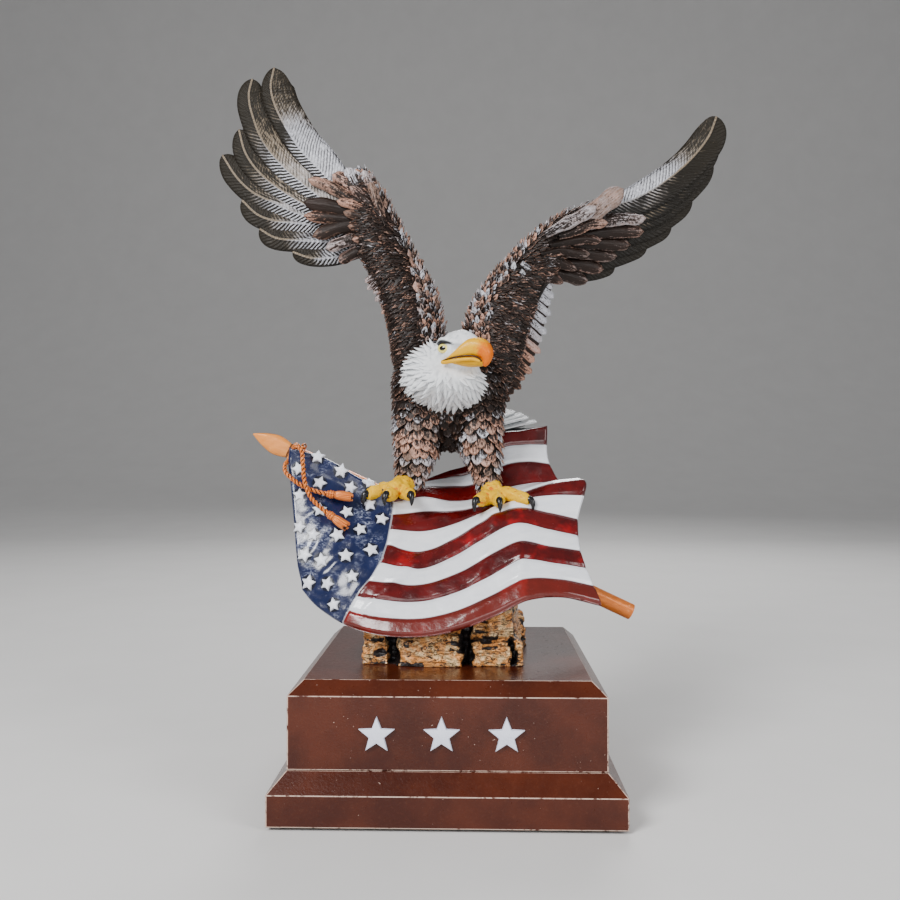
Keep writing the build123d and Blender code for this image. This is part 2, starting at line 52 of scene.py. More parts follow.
# ------------------------------------------------------------------ camera and light
CAMERA_PLACE = (8.82, -399.5, 136.94)
CAMERA_YAW = 0.023
CAMERA_PITCH = 0.005
CAMERA_ROLL = -0.001
SENSOR = 36.0
FOCAL_PIXELS = 921.3
FRAME_PIXELS = 900.0

camera_data = bpy.data.cameras.new("camera")
camera_data.sensor_width = SENSOR
camera_data.lens = SENSOR * FOCAL_PIXELS / FRAME_PIXELS
camera_data.clip_start = 0.01
camera = bpy.data.objects.new("camera", camera_data)
camera.location = Vector(CAMERA_PLACE) * MM
camera.rotation_euler = (math.pi / 2 + CAMERA_PITCH, CAMERA_ROLL, CAMERA_YAW)
bpy.context.scene.collection.objects.link(camera)
bpy.context.scene.camera = camera


def area_light(name, place, target, size, watts, colour=(1.0, 1.0, 1.0)):
    """A soft square lamp at a place, in metres, that faces a target."""
    data = bpy.data.lights.new(name, "AREA")
    data.size = size
    data.energy = watts
    data.color = colour
    lamp = bpy.data.objects.new(name, data)
    lamp.location = place
    lamp.rotation_euler = (Vector(target) - Vector(place)).to_track_quat("-Z", "Y").to_euler()
    bpy.context.scene.collection.objects.link(lamp)


AIM = (0.0, 0.0, 0.16)
area_light("key_lamp", (-0.55, -0.75, 0.75), AIM, 0.40, 15.5)
area_light("fill_lamp", (0.8, -0.6, 0.45), AIM, 0.45, 5.5)
area_light("back_lamp", (0.15, 0.9, 0.8), AIM, 0.5, 7.0)
area_light("front_lamp", (0.0, -1.2, 0.2), AIM, 0.5, 3.6)

world = bpy.data.worlds.new("studio")
world.use_nodes = True
world.node_tree.nodes["Background"].inputs["Color"].default_value = (0.78, 0.79, 0.81, 1.0)
world.node_tree.nodes["Background"].inputs["Strength"].default_value = 0.32
bpy.context.scene.world = world


# ------------------------------------------------------------------ materials
class Value:
    """What a node gives out at each place of a surface; sums of values are nodes too."""

    def __init__(self, paint, socket):
        self.paint = paint
        self.socket = socket

    def __add__(self, other):
        return self.paint.math("ADD", self, other)

    def __sub__(self, other):
        return self.paint.math("SUBTRACT", self, other)

    def __rsub__(self, other):
        return self.paint.math("SUBTRACT", other, self)

    def __mul__(self, other):
        return self.paint.math("MULTIPLY", self, other)

    def __abs__(self):
        return self.paint.math("ABSOLUTE", self)

    def least(self, other):
        return self.paint.math("MINIMUM", self, other)

    def most(self, other):
        return self.paint.math("MAXIMUM", self, other)

    def step(self, low, high):
        """A smooth step from 0 at low to 1 at high."""
        made = self.paint.node("ShaderNodeMapRange", interpolation_type="SMOOTHSTEP")
        self.paint.plug(made.inputs, {"Value": self, "From Min": low, "From Max": high})
        return Value(self.paint, made.outputs["Result"])


class Paint:
    """A material's node tree, with short calls for the nodes that the finishes share."""

    def __init__(self, name):
        self.material = bpy.data.materials.new(name)
        self.material.use_nodes = True
        self.tree = self.material.node_tree
        self.shader = self.tree.nodes["Principled BSDF"]
        self.place = Value(self, self.tree.nodes.new("ShaderNodeTexCoord").outputs["Object"])

    def node(self, kind, **settings):
        made = self.tree.nodes.new(kind)
        for key, value in settings.items():
            setattr(made, key, value)
        return made

    def plug(self, inputs, values):
        """Link each value to its input, or set a plain number or colour on it."""
        for key, value in values.items():
            socket = inputs[key]
            if isinstance(value, Value):
                self.tree.links.new(value.socket, socket)
            elif isinstance(value, tuple) and socket.type == "RGBA":
                socket.default_value = (*value, 1.0)
            else:
                socket.default_value = value

    def attribute(self, name):
        return Value(self, self.node("ShaderNodeAttribute", attribute_name=name).outputs["Fac"])

    def math(self, operation, *values, clamp=False):
        made = self.node("ShaderNodeMath", operation=operation, use_clamp=clamp)
        self.plug(made.inputs, dict(enumerate(values)))
        return Value(self, made.outputs[0])

    def noise(self, size, detail=4.0, roughness=0.6, stretch=None, distortion=0.0):
        """Noise between 0 and 1 whose features are about size millimetres across."""
        vector = self.place
        if stretch:
            mapping = self.node("ShaderNodeMapping")
            self.plug(mapping.inputs, {"Vector": vector, "Scale": stretch})
            vector = Value(self, mapping.outputs["Vector"])
        made = self.node("ShaderNodeTexNoise")
        self.plug(made.inputs, {"Vector": vector, "Scale": 1.0 / (size * MM), "Detail": detail,
                                "Roughness": roughness, "Distortion": distortion})
        return Value(self, made.outputs["Fac"])

    def mix(self, factor, first, second):
        made = self.node("ShaderNodeMix", data_type="RGBA")
        self.plug(made.inputs, {0: factor, 6: first, 7: second})
        return Value(self, made.outputs[2])

    def finish(self, colour, roughness, metallic=0.0, coat=0.0, coat_roughness=0.1, specular=0.3,
               relief=None):
        """Set the shader's sockets; relief is a height between 0 and 1 and its depth in millimetres."""
        self.plug(self.shader.inputs, {
            "Base Color": colour, "Roughness": roughness, "Metallic": metallic, "Coat Weight": coat,
            "Coat Roughness": coat_roughness, "Specular IOR Level": specular})
        if relief:
            height, depth = relief
            bump = self.node("ShaderNodeBump")
            self.plug(bump.inputs, {"Strength": 1.0, "Distance": depth * MM, "Height": height})
            self.tree.links.new(bump.outputs["Normal"], self.shader.inputs["Normal"])
        return self.material


# ------------------------------------------------------------------ shape helpers
def curve_at(points, count):
    """Evenly timed points on the Catmull-Rom curve through the given ones."""
    points = np.asarray(points, float)
    padded = np.vstack([2 * points[0] - points[1], points, 2 * points[-1] - points[-2]])
    time = np.linspace(0.0, len(points) - 1 - 1e-9, count)
    span = time.astype(int)
    part = (time - span)[:, None]
    a, b, c, d = padded[span], padded[span + 1], padded[span + 2], padded[span + 3]
    return 0.5 * (2 * b + (c - a) * part + (2 * a - 5 * b + 4 * c - d) * part ** 2
                  + (3 * b - a - 3 * c + d) * part ** 3)


def walked_along(points):
    """Distance in mm from the first point, along the line, to each point."""
    return np.concatenate([[0], np.cumsum(np.linalg.norm(np.diff(points, axis=0), axis=1))])


def both(front, back):
    """The places of two grids, one after the other, as one list."""
    return np.concatenate([front.reshape(-1, 3), back.reshape(-1, 3)])


def twice(values):
    """The same values for the front and the back grid of a shell."""
    return np.tile(np.asarray(values).reshape(-1), 2)


def unit(vectors):
    """Vectors scaled to length 1, along the last axis."""
    vectors = np.asarray(vectors, float)
    return vectors / np.maximum(np.linalg.norm(vectors, axis=-1, keepdims=True), 1e-9)


def rise(value, low, high):
    """A smooth step from 0 at low to 1 at high."""
    part = np.clip((np.asarray(value, float) - low) / (high - low), 0.0, 1.0)
    return part * part * (3 - 2 * part)


class Sculpt:
    """The vertices, faces and float attributes of one piece, in millimetres."""

    def __init__(self, name):
        self.name = name
        self.points = []
        self.faces = []
        self.values = {}
        self.count = 0

    def add(self, points, faces, **values):
        """Add a closed shell; a value is one number for the shell, or one for each vertex."""
        points = np.asarray(points, float).reshape(-1, 3)
        self.points.append(points)
        self.faces += [tuple(index + self.count for index in face) for face in faces]
        for key in sorted(set(self.values) | set(values)):
            row = np.broadcast_to(np.asarray(values.get(key, 0.0), float).reshape(-1), (len(points),))
            self.values.setdefault(key, [np.zeros(self.count)] if self.count else []).append(row)
        self.count += len(points)

    def mesh(self):
        mesh = bpy.data.meshes.new(self.name)
        mesh.from_pydata((np.vstack(self.points) * MM).tolist(), [], self.faces)
        for key, rows in self.values.items():
            layer = mesh.attributes.new(key, "FLOAT", "POINT")
            layer.data.foreach_set("value", np.concatenate(rows).astype(np.float32))
        mesh.shade_smooth()
        return mesh

    def finish(self, material, slot, *nodes):
        """Make the object, ride it on the root body and hide the CAD nodes that it stands for."""
        return place(bpy.data.objects.new(self.name, self.mesh()), material, slot, *nodes)


def place(piece, material, slot, *nodes):
    if piece.name not in bpy.context.scene.collection.objects:
        bpy.context.scene.collection.objects.link(piece)
    piece.data.materials.clear()
    piece.data.materials.append(material)
    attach(piece, "root")
    if nodes:
        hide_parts(*nodes)
    return piece


def grid_faces(rows, columns, start=0, flip=False):
    """Quads of a grid of vertices, row by row."""
    faces = []
    for row in range(rows - 1):
        for column in range(columns - 1):
            corner = start + row * columns + column
            quad = (corner, corner + 1, corner + columns + 1, corner + columns)
            faces.append(quad[::-1] if flip else quad)
    return faces


def ring_faces(rings, sides, start=0):
    """Quads between rings of vertices, ring by ring."""
    faces = []
    for ring in range(rings - 1):
        for step in range(sides):
            corner, beside = start + ring * sides + step, start + ring * sides + (step + 1) % sides
            faces.append((corner, beside, beside + sides, corner + sides))
    return faces


def capped_rings(rings, sides):
    """Rings of quads with a flat face over the first ring and over the last."""
    caps = [tuple(range(sides))[::-1], tuple(range((rings - 1) * sides, rings * sides))]
    return ring_faces(rings, sides) + caps


def rim_of(rows, columns):
    """The border vertices of a grid, once round."""
    top = list(range(columns))
    right = [row * columns + columns - 1 for row in range(1, rows)]
    bottom = [(rows - 1) * columns + column for column in range(columns - 2, -1, -1)]
    left = [row * columns for row in range(rows - 2, 0, -1)]
    return top + right + bottom + left


def shell_faces(rows, columns):
    """A closed shell: a front grid, a back grid after it, and the strip between their borders."""
    total = rows * columns
    faces = grid_faces(rows, columns) + grid_faces(rows, columns, total, flip=True)
    rim = rim_of(rows, columns)
    for near, far in zip(rim, rim[1:] + rim[:1]):
        faces.append((far, near, near + total, far + total))
    return faces


def plate_faces(rows, columns):
    """A closed plate: a front grid, and a fan from its border to one vertex behind it."""
    faces = grid_faces(rows, columns)
    rim = rim_of(rows, columns)
    for near, far in zip(rim, rim[1:] + rim[:1]):
        faces.append((far, near, rows * columns))
    return faces


def tube(sculpt, points, radii, sides=8, side_hint=(0.0, 0.0, 1.0), core=None, **values):
    """A closed tube along points.

    core gives the middle line and radius of a cord that it is a strand of: where it lies deep in the cord,
    its hollow value is high, which the paint turns into painted shade.
    """
    points = np.asarray(points, float)
    radii = np.broadcast_to(np.asarray(radii, float), (len(points),))
    ahead = unit(np.gradient(points, axis=0))
    side = np.empty_like(points)
    hint = np.asarray(side_hint, float)
    for index, direction in enumerate(ahead):
        across = hint - direction * hint.dot(direction)
        if np.linalg.norm(across) < 1e-3:
            across = np.cross(direction, (0.3, 1.0, 0.2))
        hint = across / np.linalg.norm(across)
        side[index] = hint
    other = np.cross(ahead, side)
    angle = np.linspace(0, 2 * math.pi, sides, endpoint=False)
    ring = (side[:, None] * np.cos(angle)[None, :, None]
            + other[:, None] * np.sin(angle)[None, :, None]) * radii[:, None, None]
    body = (points[:, None] + ring).reshape(-1, 3)
    rows = len(points)
    faces = ring_faces(rows, sides)
    first, last = rows * sides, rows * sides + 1
    for step in range(sides):
        faces.append((first, (step + 1) % sides, step))
        faces.append((last, (rows - 1) * sides + step, (rows - 1) * sides + (step + 1) % sides))
    along = np.append(np.repeat(np.linspace(0, 1, rows), sides), (0.0, 1.0))
    if core is not None:
        line, reach = core
        gap = np.linalg.norm(body.reshape(rows, sides, 3) - np.asarray(line)[:, None], axis=2) / reach
        values["hollow"] = np.append((1 - rise(gap, 0.72, 1.0)).reshape(-1), (0.0, 0.0))
    sculpt.add(np.vstack([body, points[0], points[-1]]), faces, along=along, **values)


def remeshed(name, source, voxel, smooth_steps=0):
    """A new mesh: the closed shells of a source mesh fused, with even faces voxel mm across."""
    piece = bpy.data.objects.new(name, source)
    bpy.context.scene.collection.objects.link(piece)
    modifier = piece.modifiers.new("fuse", "REMESH")
    modifier.mode = "VOXEL"
    modifier.voxel_size = voxel * MM
    if smooth_steps:
        smoothing = piece.modifiers.new("soften", "SMOOTH")
        smoothing.iterations = smooth_steps
        smoothing.factor = 0.5
    bpy.context.view_layer.update()
    fused = bpy.data.meshes.new_from_object(piece.evaluated_get(bpy.context.evaluated_depsgraph_get()))
    bpy.data.objects.remove(piece)
    fused.name = name
    return fused


def noise_at(places):
    """Smooth noise between about -1 and 1 at each place."""
    return np.array([noise.noise(Vector(spot)) for spot in places])


def vertices_of(mesh):
    """Places and normals of a mesh's vertices, in millimetres."""
    places = np.empty(len(mesh.vertices) * 3, np.float32)
    mesh.vertices.foreach_get("co", places)
    normals = np.empty(len(mesh.vertices) * 3, np.float32)
    mesh.vertex_normals.foreach_get("vector", normals)
    return places.reshape(-1, 3).astype(float) / MM, normals.reshape(-1, 3).astype(float)


def move_vertices(mesh, places):
    mesh.vertices.foreach_set("co", (places * MM).astype(np.float32).reshape(-1))
    mesh.update()


def float_layer(mesh, name, values):
    mesh.attributes.new(name, "FLOAT", "POINT").data.foreach_set("value", np.asarray(values, np.float32))


def stack_shell(sculpt, sections, rings=36, sides=40):
    """A closed smooth shell through level ellipses: x, y, height, half width, half depth."""
    rows = curve_at(sections, rings)
    angle = np.linspace(0, 2 * math.pi, sides, endpoint=False)
    points = np.empty((rings, sides, 3))
    points[..., 0] = rows[:, 0:1] + rows[:, 3:4] * np.cos(angle)
    points[..., 1] = rows[:, 1:2] + rows[:, 4:5] * np.sin(angle)
    points[..., 2] = rows[:, 2:3]
    sculpt.add(points, capped_rings(rings, sides))


def spread(places, gap, seed):
    """Indices of places taken in a random order, none nearer to another than its gap."""
    order = list(range(len(places)))
    random.Random(seed).shuffle(order)
    gaps = np.broadcast_to(np.asarray(gap, float), (len(places),))
    cell = float(gaps.max())
    taken = {}
    chosen = []
    for index in order:
        spot = places[index]
        key = tuple(int(math.floor(value / cell)) for value in spot)
        near = (taken.get((key[0] + i, key[1] + j, key[2] + k), ())
                for i in (-1, 0, 1) for j in (-1, 0, 1) for k in (-1, 0, 1))
        reach = gaps[index]
        if all(np.linalg.norm(places[other] - spot) >= reach for group in near for other in group):
            taken.setdefault(key, []).append(index)
            chosen.append(index)
    return chosen


# ------------------------------------------------------------------ finishes
PLINTH_SLOPE_NORMAL = 0.71
FLAG_STRIPES = 11
BARB_PITCH = 1.9
BARB_SLANT = 0.95


def plinth_paint():
    """Glossy red-brown paint, pale where its edges are worn, with specks of dust in it."""
    paint = Paint("plinth_paint")
    brown = paint.mix(paint.noise(30.0, 3.0).step(0.35, 0.7),
                      (0.042, 0.0068, 0.0022), (0.078, 0.0145, 0.0046))
    brown = paint.mix(paint.noise(1.4, 5.0, 0.7).step(0.5, 0.8) * 0.30, brown, (0.13, 0.043, 0.022))
    facing = paint.node("ShaderNodeSeparateXYZ")
    paint.tree.links.new(paint.node("ShaderNodeNewGeometry").outputs["Normal"], facing.inputs[0])
    side_x, side_y, tilt = [abs(Value(paint, output)) for output in facing.outputs]
    on_slope = abs(tilt - PLINTH_SLOPE_NORMAL) - 0.035
    off_flat = tilt.least(on_slope).least(1.0 - tilt).most(side_x.least(side_y))
    worn = off_flat.step(0.02, 0.10) * paint.noise(3.2, 5.0, 0.7).step(0.36, 0.50)
    dust = paint.noise(0.75, 1.0, 0.4).step(0.76, 0.80) * paint.noise(9.0, 2.0).step(0.50, 0.62)
    pale = worn.most(dust)
    return paint.finish(
        paint.mix(pale * 0.85, brown, (0.60, 0.44, 0.36)), paint.noise(2.0, 4.0) * 0.22 + 0.20,
        coat=0.28, specular=0.22, relief=(paint.noise(0.9, 3.0, 0.6) + pale * 0.5, 0.10))


def star_enamel():
    """Pale cool enamel of the raised stars on the plinth."""
    paint = Paint("star_enamel")
    tone = paint.mix(paint.noise(2.5, 4.0, 0.7), (0.66, 0.69, 0.84), (0.80, 0.82, 0.92))
    dust = paint.noise(0.6, 3.0, 0.6).step(0.66, 0.74)
    return paint.finish(paint.mix(dust * 0.5, tone, (0.42, 0.40, 0.46)), 0.42,
                        relief=(paint.noise(0.8, 3.0), 0.08))


def plain_finish(name, first, second, size, roughness, metallic=0.0, depth=0.05):
    """Two close colours in fine noise, for the pieces under and inside the figure."""
    paint = Paint(name)
    grain = paint.noise(size, 5.0, 0.65)
    return paint.finish(paint.mix(grain, first, second), roughness, metallic, relief=(grain, depth))


def rock_paint():
    """Orange-gold brushed over chiselled rock, with black crevices and fine wavy cracks; grey-blue streaks on the
    dark paint are a painted highlight, and faces that point up take painted shade.
    """
    paint = Paint("rock_bronze")
    streak = paint.noise(2.4, 4.0, 0.62, stretch=(0.6, 0.6, 1.6), distortion=1.0)
    veins = paint.noise(4.5, 4.0, 0.60, stretch=(0.6, 0.6, 1.7), distortion=1.4)
    crack = abs(veins - 0.5).step(0.004, 0.030)
    hairs = paint.noise(2.6, 4.0, 0.62, stretch=(0.5, 0.5, 1.6), distortion=2.2)
    hairline = abs(hairs - 0.5).step(0.0, 0.022)
    gold = paint.mix(paint.noise(7.0, 3.0, 0.6), (0.62, 0.185, 0.034), (0.82, 0.40, 0.120))
    gold = paint.mix(paint.noise(3.6, 4.0).step(0.44, 0.64), gold, (0.92, 0.63, 0.32))
    dark = paint.mix(paint.noise(3.0, 4.0), (0.004, 0.004, 0.006), (0.030, 0.018, 0.014))
    # Grey-blue streaks on the dark paint: painted highlight.
    dark = paint.mix(streak.step(0.58, 0.68) * 0.30, dark, (0.24, 0.26, 0.31))
    # high carries the rock's relief, its gaps, and painted shade on faces that point up.
    lift = (streak - 0.5) * 1.1 + paint.attribute("high")
    mask = lift.step(0.16, 0.34) * (crack * hairline)
    return paint.finish(paint.mix(mask, dark, gold), 0.36, 0.1, coat=0.2, coat_roughness=0.2,
                        relief=(streak + (crack + hairline) * 0.5, 0.45))


def copper_paint(name, metallic=0.25, low=(0.46, 0.085, 0.010), high=(0.84, 0.27, 0.050)):
    """Orange copper paint with painted shade where its hollow value is high, and pale brush strokes along the
    piece.
    """
    paint = Paint(name)
    stroke = paint.noise(1.2, 5.0, 0.6, stretch=(0.35, 1.0, 0.9))
    light = paint.noise(2.2, 4.0, 0.65).step(0.58, 0.74)
    copper = paint.mix(light * 0.6, paint.mix(stroke, low, high), (0.92, 0.47, 0.20))
    # Near-black where hollow is high: painted shade in the cord's valleys and among the tassel threads.
    hollow = paint.attribute("hollow").step(0.25, 0.8)
    return paint.finish(paint.mix(hollow, copper, (0.030, 0.008, 0.004)), 0.36, metallic, coat=0.15,
                        relief=(stroke, 0.10))


def flag_paint():
    """Glossy maroon and white stripes with a painted highlight on the lower red, and a navy canton with dry-brushed
    white and painted shadow round its stars.
    """
    paint = Paint("flag_paint")
    stripe, canton = paint.attribute("stripe"), paint.attribute("canton")
    phase = paint.math("MODULO", stripe, 2.0)
    white = phase.step(0.97, 1.01) * (1.0 - phase.step(1.97, 2.01))
    maroon = paint.mix(paint.noise(11.0, 4.0, 0.6).step(0.35, 0.62),
                       (0.050, 0.0016, 0.0020), (0.100, 0.0032, 0.0034))
    # Bright red patches on the lower stripes: painted highlight on the glossy red.
    bright = paint.noise(13.0, 3.0, 0.5).step(0.54, 0.70) * (1.0 - stripe.step(5.5, 7.5))
    maroon = paint.mix(bright * 0.75, maroon, (0.34, 0.0030, 0.0060))
    hem = 1.0 - stripe.step(0.85, 1.05)
    maroon = paint.mix(hem * 0.55, maroon, (0.140, 0.017, 0.010))
    snow = paint.mix(paint.noise(3.0, 5.0, 0.6, stretch=(0.5, 1, 1.6)),
                     (0.62, 0.645, 0.70), (0.84, 0.85, 0.88))
    seam = paint.math("PINGPONG", stripe, 0.5).step(0.035, 0.0)
    bars = paint.mix(seam * 0.75, paint.mix(white, maroon, snow), (0.045, 0.008, 0.010))
    navy = paint.mix(paint.noise(7.0, 4.0), (0.0040, 0.0065, 0.024), (0.0100, 0.0180, 0.078))
    brush = paint.noise(1.4, 6.0, 0.74, stretch=(0.55, 0.7, 1.1), distortion=1.6)
    strokes = brush.step(0.46, 0.66) * paint.noise(10.0, 3.0).step(0.48, 0.66)
    navy = paint.mix(strokes * 0.62, navy, (0.52, 0.57, 0.74))
    # Darker navy in a ring round each star, without white strokes: painted shadow of the raised stars.
    navy = paint.mix(paint.attribute("near_star").step(0.2, 0.9), navy, (0.0060, 0.0075, 0.018))
    colour = paint.mix(canton.step(0.25, -0.25), bars, navy)
    colour = paint.mix(abs(canton).step(0.5, 0.2) * 0.45, colour, (0.55, 0.55, 0.60))
    return paint.finish(colour, paint.noise(4.0, 3.0) * 0.18 + 0.16, coat=0.5, coat_roughness=0.14,
                        relief=(paint.noise(2.6, 4.0, 0.55), 0.22))


def canton_star_paint():
    """White enamel of the stars on the flag."""
    paint = Paint("canton_star_paint")
    tone = paint.mix(paint.noise(1.6, 4.0, 0.6), (0.62, 0.66, 0.78), (0.90, 0.91, 0.93))
    return paint.finish(tone, 0.36, coat=0.2, relief=(paint.noise(0.8, 3.0), 0.12))


def plumage_paint():
    """Black-brown feathers, dry-brushed with silver and copper-pink on whatever stands proud.

    The feathers carry these values: along and across, in mm from the root and the shaft; tip,
    0 at the root and 1 at the end; rim, 1 on the border; barb, how far the vane is ribbed;
    silver, how much pale silver it takes; glow, how much brushing it takes at all; fill, how far
    the light paint covers the vane flatly; tone, a random number of its own.
    """
    paint = Paint("bronze_plumage")
    along, across, tip, barb, rim, silver, glow, tone, fill = [
        paint.attribute(name)
        for name in ("along", "across", "tip", "barb", "rim", "silver", "glow", "tone", "fill")]
    patch, fine = paint.noise(8.0, 4.0, 0.6), paint.noise(0.9, 4.0, 0.7)
    # Ribs that slant back from the shaft, and fibres that run along the feather.
    reach = abs(across)
    run = reach * -BARB_SLANT + along
    stray = (paint.noise(3.5, 3.0) - 0.5) * 1.6
    ribs = paint.math("SINE", (run + stray) * (2 * math.pi / BARB_PITCH)) * 0.5 + 0.5
    weave = paint.node("ShaderNodeCombineXYZ")
    paint.plug(weave.inputs, {0: along * 0.24, 1: across * 1.9, 2: tone * 40.0})
    threads = paint.node("ShaderNodeTexNoise")
    paint.plug(threads.inputs, {"Scale": 1.0, "Detail": 4.0, "Vector": Value(paint, weave.outputs[0])})
    fibre = Value(paint, threads.outputs["Fac"])
    # Where the light paint takes: on rims and tips of smooth feathers, on the ribs of the quills.
    grip = (glow - 0.7) * 0.42 + (tip * 0.20 + (rim * 0.32 + fibre))
    smooth_vane = ((fine - 0.5) * 0.9 + grip).step(0.70, 0.92)
    stroke_end = (fine - 0.5) * 0.8 + rim
    comb = ribs.step(0.52, 0.80) * stroke_end.step(0.50, 0.18) * (silver * 0.55 + patch).step(0.62, 0.98)
    slits = ribs.step(0.36, 0.12) * patch.step(0.34, 0.54)
    flat_light = ((fibre - 0.5) * 1.9 + fill).step(0.34, 0.62) * (slits * -0.85 + 1.0)
    vane = smooth_vane * (1.0 - barb) + comb.most(flat_light) * barb
    shaft = reach.step(0.62, 0.30) * barb * (fine * 0.9 + 0.2)
    brushed = paint.math("MULTIPLY", vane, fine * 1.2 + 0.30, clamp=True)
    brushed = paint.math("MULTIPLY", brushed, glow.least(1.0), clamp=True)
    brushed = paint.math("MAXIMUM", brushed, shaft, clamp=True)
    # The dark paint below and the colours brushed over it.
    dark = paint.mix(paint.noise(4.0, 4.0), (0.0018, 0.0015, 0.0014), (0.0125, 0.0065, 0.0042))
    olive = paint.mix(tip, (0.0032, 0.0030, 0.0028), (0.0180, 0.0142, 0.0092))
    dark = paint.mix(barb, paint.mix(tip * 0.45, dark, (0.032, 0.0155, 0.0100)), olive)
    groove = reach.step(1.15, 0.75) * barb
    dark = paint.mix(groove * 0.8, dark, (0.0020, 0.0020, 0.0020))
    pink = paint.mix((patch + tone * 0.35).step(0.45, 0.85), (0.230, 0.150, 0.116), (0.58, 0.320, 0.232))
    pink = paint.mix(barb, pink, (0.300, 0.235, 0.165))
    pale = paint.mix(fine, (0.32, 0.32, 0.34), (0.72, 0.73, 0.80))
    hue = paint.mix((fibre * 0.5 + silver).step(0.50, 0.95), pink, pale)
    return paint.finish(paint.mix(brushed, dark, hue), brushed * -0.08 + 0.46, 0.12, specular=0.25,
                        relief=(fibre * 0.7 + ribs * barb * 0.9, 0.30))


def white_feather_paint(name, low, high, shade):
    """Off-white feathers with painted shade between their locks; painted shadow, grey where under is 0.7 and black
    where it is 1.
    """
    paint = Paint(name)
    hollow, under = paint.attribute("hollow").step(0.15, 0.95), paint.attribute("under")
    tone = paint.mix(hollow * 0.6, paint.mix(paint.noise(2.4, 5.0, 0.65), low, high), shade)
    tone = paint.mix(under.step(0.0, 0.7), tone, (0.105, 0.115, 0.120))
    tone = paint.mix(under.step(0.75, 1.0), tone, (0.010, 0.010, 0.014))
    return paint.finish(tone, 0.46, relief=(paint.noise(0.7, 4.0, 0.6), 0.10))


def beak_paint():
    """Yellow beak that turns orange at its hook, with painted shade along its mouth."""
    paint = Paint("beak_paint")
    tip = (paint.noise(1.6, 3.0) - 0.5) * 0.35 + paint.attribute("tip")
    yellow = paint.mix(paint.noise(2.5, 4.0), (0.66, 0.31, 0.0), (0.82, 0.45, 0.0))
    orange = paint.mix(paint.noise(1.2, 4.0), (0.60, 0.085, 0.0), (0.74, 0.20, 0.0))
    colour = paint.mix(tip.step(0.44, 0.62), yellow, orange)
    # Near-black where hollow is high, on the thin mouth tube: painted shade in the mouth's gap.
    colour = paint.mix(paint.attribute("hollow").step(0.4, 0.9), colour, (0.05, 0.018, 0.006))
    return paint.finish(colour, 0.40, coat=0.06, specular=0.18, relief=(paint.noise(1.0, 3.0), 0.10))


def foot_paint():
    """Yellow scaly skin with orange in its folds."""
    paint = Paint("foot_paint")
    lift = (paint.noise(1.3, 4.0) - 0.5) * 0.6 + paint.attribute("high")
    yellow = paint.mix(paint.noise(2.0, 4.0), (0.66, 0.33, 0.0), (0.86, 0.52, 0.0))
    colour = paint.mix(lift.step(0.56, 0.30), yellow, (0.62, 0.17, 0.0))
    return paint.finish(colour, 0.44, coat=0.05, specular=0.18, relief=(paint.noise(0.9, 4.0, 0.6), 0.2))


def dark_gloss(name, colour, roughness):
    """A dark glossy paint with faint grey spots from noise, a painted highlight."""
    paint = Paint(name)
    # Faint grey spots: painted highlight on the glossy black.
    light = paint.noise(1.1, 4.0).step(0.55, 0.75)
    return paint.finish(paint.mix(light * 0.25, colour, (0.08, 0.08, 0.09)), roughness, coat=0.15,
                        relief=(paint.noise(0.8), 0.05))


def eye_paint():
    """Yellow iris round a black pupil, by distance from the middle of the eye."""
    paint = Paint("eye_paint")
    reach = paint.attribute("reach")
    iris = paint.mix(reach.step(0.34, 0.42), (0.004, 0.004, 0.004), (0.84, 0.72, 0.16))
    return paint.finish(paint.mix(reach.step(1.00, 1.12), iris, (0.10, 0.07, 0.03)), 0.15,
                        coat=0.8, coat_roughness=0.05)


def dress(material, *names):
    """Give CAD nodes that stay visible their finish."""
    for name in names:
        NODES[name].data.materials.clear()
        NODES[name].data.materials.append(material)


# ------------------------------------------------------------------ plinth and fasteners
dress(plinth_paint(), "plinth_foot", "plinth_block")
dress(plain_finish("felt", (0.012, 0.030, 0.018), (0.030, 0.060, 0.036), 0.5, 0.95, depth=0.2), "felt_pad")
dress(plain_finish("fastener_steel", (0.42, 0.43, 0.44), (0.58, 0.58, 0.59), 1.0, 0.34, 0.9),
      "tier_screws", "figure_bolts", "bolt_washers", "leg_rods", "wing_dowels", "head_dowel", "tail_dowel")
dress(plain_finish("insert_brass", (0.52, 0.36, 0.12), (0.66, 0.48, 0.18), 1.0, 0.32, 0.9),
      "threaded_inserts")


def add_star(sculpt, centre, normal, up, radius, waist, height, bevel, sink, **values):
    """A raised five-point star: a low domed top inside a bevel, and walls sunk below its place."""
    normal = unit(normal)
    across = unit(np.cross(up, normal))
    up = np.cross(normal, across)
    points = []
    for level, scale in ((-sink, 1.0), (height - bevel, 1.0), (height - 0.3 * bevel, 1 - 0.35 * bevel / waist),
                         (height, 1 - bevel / waist)):
        for step in range(10):
            reach = (radius if step % 2 == 0 else waist) * scale
            angle = math.radians(90 + 36 * step)
            points.append(centre + across * reach * math.cos(angle) + up * reach * math.sin(angle)
                          + normal * level)
    points += [centre + normal * (height + 0.25 * bevel), centre - normal * sink]
    faces = ring_faces(4, 10)
    for step in range(10):
        faces.append((30 + step, 30 + (step + 1) % 10, 40))
        faces.append((41, (step + 1) % 10, step))
    sculpt.add(points, faces, **values)


FRONT_PLANE = -59.5
PLINTH_STARS = ((-26.0, 33.5), (-2.0, 33.5), (22.0, 33.5))
PLINTH_STAR_SIZES = (7.0, 3.0, 1.6)
plinth_stars = Sculpt("plinth_stars")
for x, z in PLINTH_STARS:
    add_star(plinth_stars, np.array((x, FRONT_PLANE, z)), (0, -1, 0), (0, 0, 1), *PLINTH_STAR_SIZES, 0.6, 0.5)
star_piece = plinth_stars.finish(star_enamel(), "star_enamel", "front_stars")
star_piece.data.set_sharp_from_angle(angle=math.radians(35))


